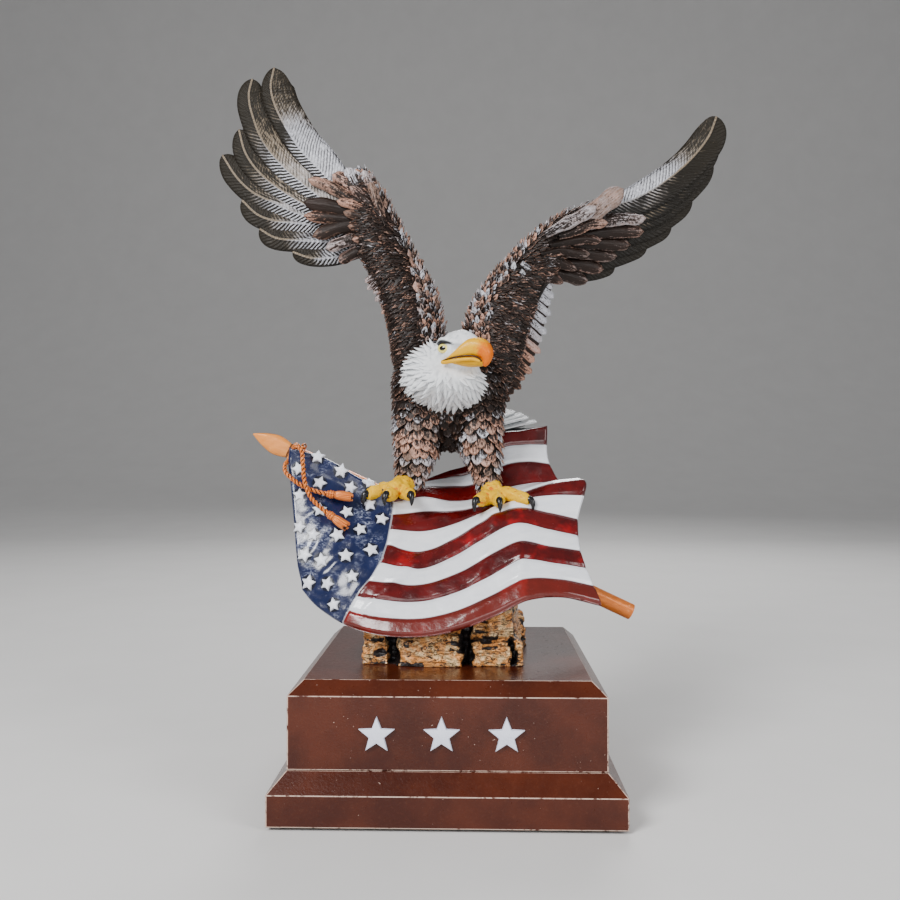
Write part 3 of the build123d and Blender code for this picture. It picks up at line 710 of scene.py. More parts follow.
# ------------------------------------------------------------------ rock
ROCK_VOXEL = 0.85
ROCK_SEED = Vector((3.1, 7.7, 1.9))
PLINTH_TOP = 52.5
# Deep gaps between the front blocks: middle x, half width, top height.
ROCK_GAPS = ((-22.6, 2.6, 72.0), (7.0, 2.6, 70.0), (25.5, 1.2, 64.0))


def ridge(spot, size):
    """Sharp-crested noise between 0 and 1."""
    return 1.0 - 2.0 * abs(noise.noise(spot / size + ROCK_SEED))


rock_mesh = remeshed("rock", NODES["rock_outcrop"].data.copy(), ROCK_VOXEL, 1)
places, normals = vertices_of(rock_mesh)
high = np.empty(len(places))
shift = np.empty(len(places))
for index, (spot, normal) in enumerate(zip(places, normals)):
    spot = Vector(spot)
    bent = spot + Vector((1.0, 1.0, 0.4)) * 2.2 * noise.noise(spot / 9.0)
    layer = Vector((bent.x * 0.45, bent.y * 0.45, bent.z * 1.9))
    strata = ridge(layer, 3.4)
    chips = ridge(bent, 4.2)
    facet = noise.cell(Vector((bent.x / 6.5, bent.y / 6.5, bent.z / 4.2)))
    relief = 0.50 * strata + 0.30 * chips + 0.20 * facet
    # Faces that point up get a lower high value and so less gold: painted shade.
    high[index] = relief - 0.45 * max(0.0, normal[2] - 0.35)
    shift[index] = 1.3 * (relief - 0.55) * min(1.0, max(0.0, (spot.z - PLINTH_TOP) / 1.5))
carved = np.zeros(len(places))
for middle, half_width, top in ROCK_GAPS:
    aside = np.abs(places[:, 0] - middle - 0.7 * np.sin(places[:, 2] / 2.1))
    inside = 1.0 - rise(aside, half_width * 0.55, half_width)
    below, ahead_of = 1 - rise(places[:, 2], top - 3, top), 1 - rise(places[:, 1], -24, -12)
    carved = np.maximum(carved, inside * below * ahead_of)
high -= carved
moved = places + normals * shift[:, None]
moved[:, 1] += 5.5 * carved * rise(places[:, 2], 52.4, 53.4)
move_vertices(rock_mesh, moved)
float_layer(rock_mesh, "high", high)
rock_mesh.set_sharp_from_angle(angle=math.radians(40))
place(bpy.data.objects.new("rock", rock_mesh), rock_paint(), "rock_bronze", "rock_outcrop")


# ------------------------------------------------------------------ flag
# Lines across the flag from the hoist to the fly, in millimetres, and the stripe edge on which
# each lies: 0 is the lower hem, 11 the upper edge behind the right leg.
FLAG_STRIPE_EDGES = (0, 3, 5, 7, 8, 9, 11)
FLAG_LINES = (
    ((-60, -27, 82), (-54, -30, 76), (-42, -36, 70), (-27, -41, 67), (-10, -43, 67),
     (5, -43, 70), (18, -42, 75), (31, -41, 81), (46, -39, 82), (61, -35, 78)),
    ((-63, -24, 96), (-53, -27, 92), (-41, -30, 88), (-27, -31, 86), (-12, -31, 85),
     (2, -30, 89), (14, -28, 95), (28, -26, 102), (41, -25, 100), (54, -23, 98)),
    ((-65, -19, 110), (-53, -21, 107), (-40, -22, 103), (-26, -21, 100), (-12, -20, 97),
     (1, -18, 102), (13, -16, 109), (27, -14, 115), (41, -13, 113), (54, -12, 110)),
    ((-67.2, -14, 124), (-53, -15, 119), (-39, -14, 115), (-25, -13, 112), (-11, -8, 113),
     (1, -5, 113), (12, -3, 115), (28, -3, 120), (43, -3, 125), (57, -3, 127)),
    ((-68.6, -12, 133), (-53, -12, 127), (-38, -12, 120), (-25, -12, 117), (-12, -2, 119),
     (0, 4, 117), (11, 6, 118), (26, 8, 123), (38, 8, 125), (49, 7, 125)),
    ((-68.8, -11, 137), (-52, -12, 131), (-38, -12, 124), (-24, -11, 120), (-12, 6, 123),
     (-1, 12, 123), (10, 13, 124), (23, 13, 132), (34, 13, 134), (44, 12, 133)),
    ((-68.8, -11, 140), (-52, -12, 135), (-38, -12, 127), (-24, -10, 122), (-12, 12, 126),
     (-2, 20, 130), (9, 20, 134), (21, 18, 146.5), (31, 18, 148.5), (43, 17, 150.5)),
)
SHEET_THICK = 3.0
FLAG_ACROSS = 190
FLAG_UP = 170
# Edge of the canton: height, and x at that height.
CANTON_EDGE = ((69.0, -43.0), (76.0, -39.5), (82.7, -35.7), (88.0, -31.2), (94.0, -27.6),
               (101.6, -25.6), (116.0, -23.8))


def flag_sheet():
    """Front surface of the flag as a grid of places, with the stripe edge number of each row."""
    lines = np.array([curve_at(line, FLAG_ACROSS) for line in FLAG_LINES])
    stripes = np.linspace(0.0, FLAG_STRIPES, FLAG_UP)
    knots = np.array(FLAG_STRIPE_EDGES, float)
    slopes = np.gradient(lines, knots, axis=0)
    span = np.clip(np.searchsorted(knots, stripes, side="right") - 1, 0, len(knots) - 2)
    width = (knots[span + 1] - knots[span])[:, None, None]
    part = ((stripes - knots[span])[:, None, None]) / width
    near, far = lines[span], lines[span + 1]
    leave, reach = slopes[span] * width, slopes[span + 1] * width
    grid = ((2 * part ** 3 - 3 * part ** 2 + 1) * near + (part ** 3 - 2 * part ** 2 + part) * leave
            + (3 * part ** 2 - 2 * part ** 3) * far + (part ** 3 - part ** 2) * reach)
    return grid, stripes


def grid_normals(grid, toward):
    """Normals of a grid surface, on the side that the given direction points to."""
    normals = unit(np.cross(np.gradient(grid, axis=1), np.gradient(grid, axis=0)))
    if (normals @ np.asarray(toward, float)).mean() < 0:
        normals = -normals
    return normals


def border_distance(grid):
    """Distance in mm of each place of a grid from the grid's nearest border."""
    def walked(axis):
        steps = np.linalg.norm(np.diff(grid, axis=axis), axis=2)
        zero = np.zeros_like(np.take(steps, [0], axis=axis))
        total = np.concatenate([zero, np.cumsum(steps, axis=axis)], axis=axis)
        return np.minimum(total, np.take(total, [-1], axis=axis) - total)
    return np.minimum(walked(0), walked(1))


sheet, stripes = flag_sheet()
sheet_normals = grid_normals(sheet, (0, -1, 0.35))
canton_line = np.interp(sheet[..., 2], *zip(*CANTON_EDGE))
canton = sheet[..., 0] - canton_line
FOLDS = (
    # foot (x, z), head (x, z), half width, height
    ((-30, 76), (-14, 96), 2.4, 0.9), ((-24, 84), (-6, 100), 2.0, 0.7), ((-32, 90), (-18, 106), 1.8, 0.6),
    ((8, 84), (22, 104), 2.2, 0.7), ((28, 84), (30, 104), 2.4, 0.9), ((-2, 70), (26, 84), 2.4, 0.8),
    ((-36, 72), (-26, 84), 1.6, 0.6), ((16, 106), (20, 116), 2.4, 1.0), ((-20, 106), (2, 112), 1.8, 0.6),
    ((-60, 92), (-44, 114), 2.2, 0.7), ((-56, 84), (-38, 100), 2.0, 0.7), ((-62, 108), (-44, 124), 2.2, 0.7),
)


def fold_height(grid):
    """Relief of the small folds that run across the flag."""
    height = np.zeros(grid.shape[:2])
    flat = grid[..., [0, 2]]
    for foot, head, half_width, amount in FOLDS:
        foot, head = np.array(foot, float), np.array(head, float)
        axis = head - foot
        part = np.clip(((flat - foot) @ axis) / (axis @ axis), 0, 1)
        gap = np.linalg.norm(flat - foot - part[..., None] * axis, axis=2)
        height += amount * np.exp(-(gap / half_width) ** 2) * np.sin(math.pi * np.clip(part, 0.05, 0.95))
    return height


stripe_grid = np.broadcast_to(stripes[:, None], sheet.shape[:2])
seam_gap = np.abs(stripe_grid - np.round(stripe_grid))
on_bars = rise(canton, -0.2, 0.2)
relief = on_bars * (0.55 * rise(seam_gap, 0.0, 0.22) - 0.35)
relief += fold_height(sheet)
relief -= 0.5 * np.exp(-(canton / 0.6) ** 2)
bumps = noise_at(sheet.reshape(-1, 3) / 5.0).reshape(sheet.shape[:2])
relief += bumps * np.where(canton < 0, 0.45, 0.12)
EDGE_RADIUS = 1.3
border = np.clip(border_distance(sheet), 0, EDGE_RADIUS)
turned = EDGE_RADIUS - np.sqrt(np.maximum(EDGE_RADIUS ** 2 - (EDGE_RADIUS - border) ** 2, 0))
front_sheet = sheet + sheet_normals * (relief - turned)[..., None]
back_sheet = sheet - sheet_normals * (SHEET_THICK - 0.15 + 0.1 * bumps - turned)[..., None]
flag_tree = BVHTree.FromPolygons([tuple(spot) for spot in front_sheet.reshape(-1, 3)],
                                 grid_faces(FLAG_UP, FLAG_ACROSS))

# Middles of the canton's stars: x and height.
CANTON_STARS = (
    (-56, 136), (-46, 130), (-34, 125), (-64, 131), (-55, 125), (-42, 123), (-63, 120), (-54, 114),
    (-43, 113), (-34, 116), (-28.5, 110), (-62, 107), (-56, 104), (-46, 104), (-37, 106), (-59, 96),
    (-52, 94), (-42, 96), (-32, 98), (-57, 85), (-49, 85), (-39, 88), (-46, 77),
)
canton_stars = Sculpt("canton_stars")
near_star = np.zeros(sheet.shape[:2])
star_dice = random.Random(5)
for x, z in CANTON_STARS:
    hit, normal, _, _ = flag_tree.ray_cast(Vector((x, -120.0, z)), Vector((0, 1, 0)))
    if hit is None:
        hit, normal, _, _ = flag_tree.find_nearest(Vector((x, -15.0, z)))
    normal = -normal if normal.y > 0 else normal
    lean = math.radians(star_dice.uniform(-22, 22))
    up = (math.sin(lean), 0.0, math.cos(lean))
    size = star_dice.uniform(3.0, 3.45)
    add_star(canton_stars, np.array(hit), np.array(normal), np.array(up), size, size * 0.52, 0.9, 0.7, 0.8)
    # The ring of painted shadow round this star, on the flag's grid.
    gap = np.linalg.norm(front_sheet - np.array(hit), axis=2)
    near_star = np.maximum(near_star, 1.0 - rise(gap, size * 0.80, size * 1.15))
canton_stars.finish(canton_star_paint(), "flag_paint")

flag = Sculpt("flag")
flag.add(both(front_sheet, back_sheet), shell_faces(FLAG_UP, FLAG_ACROSS),
         stripe=twice(stripe_grid), canton=twice(canton),
         near_star=np.concatenate([near_star.reshape(-1), np.zeros(near_star.size)]))
flag.finish(flag_paint(), "flag_paint", "flag")


# ------------------------------------------------------------------ pole, spear head, cord, tassels
POLE_TOP = np.array((-67.0, -3.0, 137.2))
POLE_END = np.array((78.5, 4.0, 68.5))
POLE_AHEAD = unit(POLE_TOP - POLE_END)
CORD_RADIUS = 0.88
CORD_RING = 4.9
SPEAR_REACH = 17.6
SPEAR_ROWS = 40
SPEAR_COLUMNS = 17
dress(copper_paint("pole_copper"), "flagpole")

spear = Sculpt("spear_head")
# Outline of the spear head: how far along it, and half its width there.
SPEAR_OUTLINE = ((0.0, 3.0), (3.0, 3.9), (7.0, 4.3), (11.0, 3.3), (14.5, 1.9), (SPEAR_REACH, 0.25))
rows = curve_at(SPEAR_OUTLINE, SPEAR_ROWS)
spear_up = unit(np.cross((0, -1, 0), POLE_AHEAD))
spear_up = spear_up if spear_up[2] > 0 else -spear_up
cuts = np.linspace(-1, 1, SPEAR_COLUMNS)
thick = 1.15 - 0.9 * np.abs(cuts) ** 5
base = POLE_TOP + POLE_AHEAD * 2.6
front = np.empty((SPEAR_ROWS, SPEAR_COLUMNS, 3))
for index, (reach, half) in enumerate(rows):
    half = max(half, 0.2)
    thin = min(1.0, 0.35 + (SPEAR_REACH - reach) / 9.0)
    spots = base + POLE_AHEAD * reach + np.outer(cuts * half, spear_up)
    front[index] = spots + np.outer(thick * thin, (0, -1, 0))
back = front.copy()
back[..., 1] = 2 * base[1] - front[..., 1] + 2 * (POLE_AHEAD[1] * rows[:, 0])[:, None]
# The spear head's borders take a hollow value: painted shade on its edges.
edge = np.broadcast_to(rise(np.abs(cuts), 0.80, 1.0) * 0.6, (SPEAR_ROWS, SPEAR_COLUMNS))
spear.add(both(front, back), shell_faces(SPEAR_ROWS, SPEAR_COLUMNS), hollow=twice(edge))
BEADS = 13
for step in range(BEADS):
    turn = 2 * math.pi * step / BEADS
    spot = POLE_TOP + POLE_AHEAD * 1.4 + 3.6 * (math.cos(turn) * spear_up
                                               + math.sin(turn) * np.cross(POLE_AHEAD, spear_up))
    tube(spear, [spot - POLE_AHEAD * 1.1, spot - POLE_AHEAD * 0.7, spot, spot + POLE_AHEAD * 0.7,
                 spot + POLE_AHEAD * 1.1], (0.2, 0.85, 1.1, 0.85, 0.2), 8, hollow=0.1)
# The collar under the beads is near-black: painted shade between the beads.
tube(spear, [POLE_TOP - POLE_AHEAD * 0.2, POLE_TOP, POLE_TOP + POLE_AHEAD * 3.2, POLE_TOP + POLE_AHEAD * 3.4],
     (2.0, 3.6, 3.4, 2.0), 20, hollow=0.7)
spear.finish(copper_paint("spear_copper", 0.15, (0.58, 0.165, 0.018), (0.84, 0.34, 0.075)),
             "pole_copper", "pole_finial")


def twisted(sculpt, points, radius, pitch, strands=2):
    """A cord of round strands twisted about the curve through points."""
    points = np.asarray(points, float)
    ahead = unit(np.gradient(points, axis=0))
    walked = walked_along(points)
    side = unit(np.cross(ahead, (0.15, 1.0, 0.1)))
    other = np.cross(ahead, side)
    offset, thickness = radius * 0.56, radius * 0.60
    for strand in range(strands):
        angle = 2 * math.pi * (walked / pitch + strand / strands)
        centre = points + offset * (side * np.cos(angle)[:, None] + other * np.sin(angle)[:, None])
        tube(sculpt, centre, thickness, 8, core=(points, radius))


def resampled(points, spacing):
    """Points evenly spaced along the Catmull-Rom curve through the given ones."""
    fine = curve_at(points, 200)
    walked = walked_along(fine)
    marks = np.linspace(0, walked[-1], max(4, int(walked[-1] / spacing)))
    return np.stack([np.interp(marks, walked, fine[:, axis]) for axis in range(3)], axis=1)


STRAND_A = ((-68.4, -7.0, 134.8), (-69.6, -12.0, 132.8), (-68.6, -15.8, 129.4), (-64.6, -17.6, 126.0),
            (-61, -18.2, 123.8), (-56, -18.2, 121.8), (-51, -17.8, 120.6))
STRAND_B = ((-67.2, -7.4, 139.0), (-65.8, -12.0, 140.4), (-63.4, -15.6, 140.4), (-61.6, -17.6, 138.2),
            (-61.0, -19.0, 133.6), (-60.0, -20.4, 126.0), (-57.6, -21.6, 120.0), (-54, -22.2, 116.0),
            (-50, -22.6, 112.8))
TASSEL_A_END = np.array((-40.0, -17.6, 119.2))
TASSEL_B_END = np.array((-41.5, -24.5, 107.0))
CORD_PITCH = 3.8
TASSEL_THREADS = 15
cord = Sculpt("flag_cord_twist")
neck = POLE_TOP - POLE_AHEAD * 1.8
neck_side = np.cross(POLE_AHEAD, spear_up)
angles = np.linspace(0, 2 * math.pi, 64)
ring = neck + CORD_RING * (np.outer(np.cos(angles), spear_up) + np.outer(np.sin(angles), neck_side))
twisted(cord, ring, CORD_RADIUS, 2 * math.pi * CORD_RING / 6)
for route in (STRAND_A, STRAND_B):
    twisted(cord, resampled(route, 0.45), CORD_RADIUS, CORD_PITCH)
cord_material = copper_paint("cord_copper")
cord.finish(cord_material, "cord_copper", "flag_cord")

tassels = Sculpt("tassel_threads")
tassel_dice = random.Random(11)
for start, end in ((np.array(STRAND_A[-1]), TASSEL_A_END), (np.array(STRAND_B[-1]), TASSEL_B_END)):
    ahead = unit(end - start)
    side = unit(np.cross(ahead, (0, 0, 1)))
    other = np.cross(ahead, side)
    for reach, radius in ((0.4, 1.35), (1.4, 1.7), (2.4, 1.55), (3.4, 1.3)):
        turns = np.linspace(0, 2 * math.pi, 22)
        ring = (start + ahead * reach
                + (radius - 0.45) * (np.outer(np.cos(turns), side) + np.outer(np.sin(turns), other)))
        tube(tassels, ring, 0.62, 7, side_hint=ahead)
    # The tassel's core is near-black between its threads: painted shade.
    tube(tassels, [start, start + ahead * 1.5, start + ahead * 4.0, end - ahead * 0.6], (1.1, 1.5, 1.2, 1.5),
         12, hollow=0.9)
    for index in range(TASSEL_THREADS):
        angle = 2 * math.pi * index / TASSEL_THREADS + tassel_dice.uniform(-0.15, 0.15)
        spoke = side * math.cos(angle) + other * math.sin(angle)
        length = np.linalg.norm(end - start) - tassel_dice.uniform(0.0, 1.6)
        stops = (3.2, 5.0, 0.5 * (5.0 + length), length)
        widths = (1.0, 1.45, 1.6, 1.3 + tassel_dice.uniform(-0.3, 0.5))
        thread = [start + ahead * stop + spoke * width for stop, width in zip(stops, widths)]
        tube(tassels, resampled(thread, 0.8), 0.47, 6, hollow=0.0)
tassels.finish(cord_material, "cord_copper", "cord_tassels")


# ------------------------------------------------------------------ feathers
def quill(sculpt, spine, half_widths, facing, thick, ribs, rows, silver=0.0, glow=1.0, tone=0.0,
          camber=0.0, blunt=0.16, root_width=0.55, two_sided=True, shaft=0.35, columns=13, fill=0.0):
    """A long feather along a curve: a raised shaft, ribbed vanes on both faces and a round end.

    half_widths, silver, glow and fill may be given for the two sides of the shaft; ribs is the
    depth of the grooves; camber bends the vane's borders back from the way that it faces.
    """
    line = curve_at(spine, rows)
    ahead = unit(np.gradient(line, axis=0))
    facing = np.broadcast_to(np.asarray(facing, float), line.shape)
    side = unit(np.cross(ahead, facing))
    face = np.cross(side, ahead)
    walked = walked_along(line)
    part = walked / walked[-1]
    swell = root_width + (1 - root_width) * rise(part, 0.0, 0.45)
    end = np.clip((part - (1 - blunt)) / blunt, 0, 1)
    swell = swell * np.sqrt(np.maximum(1 - end ** 2, 0.0025))
    if ribs == 0:
        swell = swell * (1 + 0.07 * np.sin(17 * part + 31 * tone))
    cuts = np.concatenate([-np.linspace(1, 0.09, columns // 2), [0.0], np.linspace(0.09, 1, columns // 2)])
    half = np.where(cuts < 0, half_widths[0], half_widths[1])
    across = swell[:, None] * (cuts * half)[None, :]
    run = walked[:, None] - BARB_SLANT * np.abs(across)
    wave = np.sin(2 * math.pi * run / BARB_PITCH)
    fade = (1 - np.abs(cuts) ** 6)[None, :] * rise(np.abs(across), 0.3, 1.2)
    ridge_up = shaft * np.exp(-(across / 0.55) ** 2) * (1 - 0.7 * part[:, None])
    plump = thick * 0.5 * (1 - 0.75 * cuts[None, :] ** 2) * (1 - 0.5 * part[:, None])
    lift = plump + ridge_up + ribs * wave * fade
    if ribs == 0:
        folds = np.sin(cuts[None, :] * 8.5 + 2.2 * np.sin(5.0 * part[:, None] + 9.0 * tone))
        lift = lift + 0.16 * folds * fade * rise(part, 0.05, 0.3)[:, None]
    bend = -camber * (cuts[None, :] ** 2) * swell[:, None]
    middle = line[:, None] + side[:, None] * across[..., None] + face[:, None] * bend[..., None]
    front = middle + face[:, None] * lift[..., None]
    back = middle - face[:, None] * (lift if two_sided else plump)[..., None]
    columns = len(cuts)
    along = np.broadcast_to(walked[:, None], across.shape)
    tips = np.broadcast_to(part[:, None], across.shape)
    left_right = [np.broadcast_to(np.asarray(value, float), (2,)) for value in (silver, glow, fill)]
    silvers, glows, fills = [np.where(cuts < 0, pair[0], pair[1])[None, :] for pair in left_right]
    fading = (1.0 - 0.80 * rise(tips, 0.35, 0.85)) * (1.0 - 0.4 * cuts[None, :] ** 4) if ribs > 0 else 1.0
    sculpt.add(both(front, back), shell_faces(rows, columns),
               along=twice(along), across=twice(across), tip=twice(tips), tone=tone,
               rim=twice(np.maximum(np.abs(cuts)[None, :] ** 5, tips ** 8)),
               silver=twice(np.broadcast_to(silvers * fading, across.shape)),
               glow=twice(np.broadcast_to(glows * (0.35 + 0.65 * fading), across.shape)),
               fill=twice(np.broadcast_to(fills * (1 - 0.70 * rise(tips, 0.45, 0.9)), across.shape)
                          * (1 - 0.5 * cuts[None, :] ** 2)),
               barb=1.0 if ribs > 0 else 0.0)


def scale(sculpt, root, ahead, face, length, half, lift, dome, silver, glow, tone,
          pointed=0.0, rows=6, columns=7, flutes=0.0):
    """A small overlapping feather whose end stands off the body."""
    side = np.cross(ahead, face)
    part = np.linspace(0, 1, rows)[:, None]
    cuts = np.linspace(-1, 1, columns)[None, :]
    round_end = np.sqrt(np.maximum(1 - np.clip((part - 0.42) / 0.58, 0, 1) ** 2.4, 0.34))
    sharp_end = np.minimum(1.0, (1.04 - part) / 0.55)
    width = half * (0.55 + 0.45 * rise(part, 0, 0.5)) * ((1 - pointed) * round_end + pointed * sharp_end)
    reach = part * length - np.abs(cuts) ** 2 * length * 0.21 * rise(part, 0.4, 1.0)
    height = (lift * part ** 1.4 + dome * (1 - cuts ** 2) * (0.4 + 0.6 * part)
              + flutes * np.cos(cuts * 2.5 * math.pi) * part)
    front = (root + ahead * reach[..., None] + side * (width * cuts)[..., None] + face * height[..., None])
    sunk = root + ahead * length * 0.35 - face * 0.8
    across = np.append((width * cuts).reshape(-1), 0.0)
    rim = np.maximum(np.abs(cuts) ** 5, part ** 6)
    sculpt.add(np.vstack([front.reshape(-1, 3), sunk]), plate_faces(rows, columns),
               along=np.append(reach.reshape(-1), 0.0), across=across, rim=np.append(rim.reshape(-1), 0.0),
               tip=np.append(np.broadcast_to(part, reach.shape).reshape(-1), 0.0),
               tone=tone, silver=silver, glow=glow, barb=0.0)


def coat(sculpt, places, normals, gaps, seed, style):
    """Cover places of a surface with scales; style gives each its way, sizes and tones."""
    dice = random.Random(seed)
    for index in spread(places, gaps, seed):
        spot, face = places[index], unit(normals[index])
        way = style(spot, face, dice)
        if way is None:
            continue
        ahead = unit(way["ahead"] - face * float(np.dot(way["ahead"], face)))
        way["ahead"] = ahead
        scale(sculpt, spot - ahead * way["length"] * 0.4, face=face, tone=dice.random(), **way)


plumage = plumage_paint()
CORE_VOXEL = 1.1


def feather_base(name, shells, smooth_steps, node):
    """A dark fused core for small feathers to stand on; gives its vertices' places and normals."""
    core = Sculpt(name + "_core")
    for sections in shells:
        stack_shell(core, sections)
    mesh = remeshed(name, core.mesh(), CORE_VOXEL, smooth_steps)
    places, normals = vertices_of(mesh)
    for key, value in (("glow", 0.15), ("tone", 0.5)):
        float_layer(mesh, key, np.full(len(places), value))
    mesh.shade_smooth()
    place(bpy.data.objects.new(name, mesh), plumage, "bronze_plumage", node)
    return places, normals


# ------------------------------------------------------------------ body and legs
# Level ellipses: x, y, height, half width, half depth.
TORSO = (
    (-1, 13, 140, 8, 6), (-1, 12, 144, 15, 11), (-1, 11, 149, 20, 14), (-1, 8, 158, 24, 18.5),
    (-1, 5, 170, 24.0, 19.5), (-1, 5, 179, 20.0, 16.5), (0, 7, 185, 12.5, 11.0), (0, 8, 189, 4, 4),
)
LEFT_LEG = (
    (-18.0, 2.5, 122.5, 5.2, 5.4), (-17.2, 2.5, 127, 6.2, 6.4), (-15.5, 1.8, 135, 8.2, 8.4),
    (-14.6, 1, 141, 9.4, 9.6), (-14, 1, 150, 10.4, 11), (-14, 2, 160, 10.6, 12),
)
RIGHT_LEG = (
    (16.6, 2.5, 120.5, 4.8, 5.0), (15.8, 2.5, 126, 5.4, 5.8), (14.2, 1.8, 134, 7.2, 7.6),
    (12.6, 1, 140, 8.6, 9.0), (11.6, 1, 149, 10.2, 10.8), (12, 2, 160, 10.8, 12),
)

body_places, body_normals = feather_base("body_base", (TORSO, LEFT_LEG, RIGHT_LEG), 3, "eagle_body")


def body_scale(spot, face, dice):
    """Scales point downwards and are largest on the thighs; those between the legs are darker."""
    leg = 1.0 - float(rise(spot[2], 146, 160))
    size = 1.6 + 0.45 * leg - 0.55 * float(rise(-spot[2], -136, -128))
    shade = 1.0 - 0.65 * (1.0 - float(rise(abs(spot[0] + 1.0), 4.0, 7.5))) * float(leg)
    size *= dice.uniform(0.9, 1.15)
    sway = dice.uniform(-0.25, 0.25)
    return {"ahead": np.array((sway + 0.25 * face[0], 0.1 * face[1], -1.0)), "length": size * 2.2,
            "half": size * 1.28, "lift": size * dice.uniform(0.45, 0.75), "dome": size * 0.30,
            "silver": dice.random() ** 1.8 * 0.75,
            "glow": (0.55 + 0.62 * leg * dice.uniform(0.6, 1.25)) * shade,
            "flutes": 0.22, "rows": 7, "columns": 9}


body_feathers = Sculpt("body_feathers")
body_gap = 2.35 + 0.75 * (1 - rise(body_places[:, 2], 146, 160)) - 0.8 * rise(-body_places[:, 2], -136, -127)
coat(body_feathers, body_places, body_normals, body_gap, 3, body_scale)
body_feathers.finish(plumage, "bronze_plumage", "eagle_body")

# ------------------------------------------------------------------ wings
# Each wing follows a middle surface: places are (x, z), and the surface gives their y. The left
# one is given as height and y, the right one as x, y and height.
LEFT_SURFACE = ((165, 5), (200, 9), (230, 13), (265, 17), (320, 25))
RIGHT_SURFACE = ((-5, 9, 195), (30, 13, 205), (60, 17, 230), (90, 21, 246), (130, 27, 272))
RIGHT_LEAN = math.tan(math.radians(18.0))
# The wings open outwards from this axis as they lean back.
WING_AXIS = (8.8, 137.0)
WING_DEPTH = 15.0
WING_REACH = 414.0


def left_wing_y(x, z):
    """The left wing's tip curves back from its arm."""
    return np.interp(z, *zip(*LEFT_SURFACE)) + 0.0006 * np.clip(-30 - np.asarray(x), 0, None) ** 2 * 1.6


def right_wing_y(x, z):
    """The right wing's feathers lean forward above its arm."""
    knots, depths, heights = zip(*RIGHT_SURFACE)
    return np.interp(x, knots, depths) - RIGHT_LEAN * (np.asarray(z) - np.interp(x, knots, heights))


def on_wing(surface, places, offset):
    """Places of a wing in space, offset mm behind its middle surface (before it if negative)."""
    places = np.asarray(places, float)
    depth = surface(places[:, 0], places[:, 1]) + offset
    opening = 1 + (depth - WING_DEPTH) / WING_REACH
    return np.stack([WING_AXIS[0] + (places[:, 0] - WING_AXIS[0]) * opening, depth,
                     WING_AXIS[1] + (places[:, 1] - WING_AXIS[1]) * opening], axis=1)


def lay_quills(sculpt, surface, rows, facing, offset, step, ribs=0.16, thick=1.5, **looks):
    """Long feathers laid like a fan, each step mm behind the one before it.

    Each row: (x, z) places along the shaft, half widths on its two sides, silver, glow and,
    for some, fill.
    """
    for index, (places, halves, silver, glow, *fill) in enumerate(rows):
        spine = on_wing(surface, places, offset + step * index)
        length = np.linalg.norm(np.diff(spine, axis=0), axis=1).sum()
        count = int(length / (BARB_PITCH / 3.4)) if ribs else 22
        quill(sculpt, spine, halves, facing, thick, ribs, count, silver, glow,
              tone=(index * 0.37) % 1.0, fill=fill[0] if fill else 0.0, **looks)


LEFT_PRIMARIES = (
    (((-38, 246), (-53, 259), (-60.6, 266.5), (-69, 275.5), (-76, 286.5), (-80.5, 296), (-82, 304), (-80.5, 312)),
     (5.0, 11.0), (1.0, 1.2), (1.0, 1.1), (0.0, 1.15)),
    (((-43, 244), (-56, 251), (-65, 257.5), (-76.6, 267.5), (-85.7, 279), (-90.5, 291), (-92, 299.5), (-90.5, 307)),
     (6.2, 9.0), (0.9, 0.45), 1.0, (0.0, 0.80)),
    (((-44, 241), (-56, 245.6), (-65.6, 249.3), (-79, 257.7), (-87.4, 264.8), (-93.5, 273.5), (-96.5, 284)),
     (5.6, 8.5), (0.9, 0.35), 1.0, (0.0, 0.50)),
    (((-43, 238), (-58, 242), (-71.5, 246.6), (-80, 250.6), (-90, 255.5), (-97.5, 262.5), (-104, 272.5)),
     (5.6, 7.0), (0.9, 0.55), 1.0, (0.0, 0.55)),
    (((-42, 236), (-52, 238.5), (-61.5, 240.5), (-71.5, 241.6), (-80, 242.6), (-88, 245.5), (-95, 252)),
     (5.4, 7.5), (1.1, 0.7), 1.05, (0.0, 0.45)),
    (((-41, 233), (-50, 233), (-59, 233), (-71.5, 233.8), (-80, 235), (-87, 239)),
     (5.2, 7.0), (1.1, 0.8), 1.0, (0.0, 0.45)),
    (((-38, 228.5), (-47, 227), (-56, 225.6), (-64, 225.8), (-72, 228.5)),
     (3.6, 7.0), (1.3, 0.9), 1.0, (0.3, 0.40)),
)
LEFT_COVERTS = (
    (((-33, 243), (-36, 252), (-38, 259), (-40, 265.5)), (3.0, 3.0), 0.45, 0.95),
    (((-36, 247), (-41, 254), (-45, 260), (-47.5, 266.5)), (2.8, 3.0), 0.60, 0.95),
    (((-36, 250), (-42, 256), (-48, 260.5), (-54, 263.5)), (3.6, 3.6), 0.30, 0.80),
    (((-36, 247), (-46, 252.7), (-55, 258), (-65, 261.5)), (2.6, 2.8), 0.00, 1.00),
    (((-38, 245), (-47, 247.5), (-56, 249.5), (-67, 251)), (3.4, 3.4), 0.00, 0.05),
    (((-36, 243), (-46, 243.5), (-56, 244.3), (-67, 245)), (2.7, 2.8), 0.10, 0.62),
    (((-34, 240), (-42, 241), (-52, 239.5), (-63, 235.5)), (3.2, 3.2), 0.00, 0.42),
    (((-33, 236), (-40, 235.5), (-48, 233.5), (-57, 230)), (2.7, 2.8), 0.45, 0.80),
    (((-32, 232), (-38, 230.5), (-45, 227.5), (-51, 224)), (2.5, 2.6), 0.35, 0.50),
)
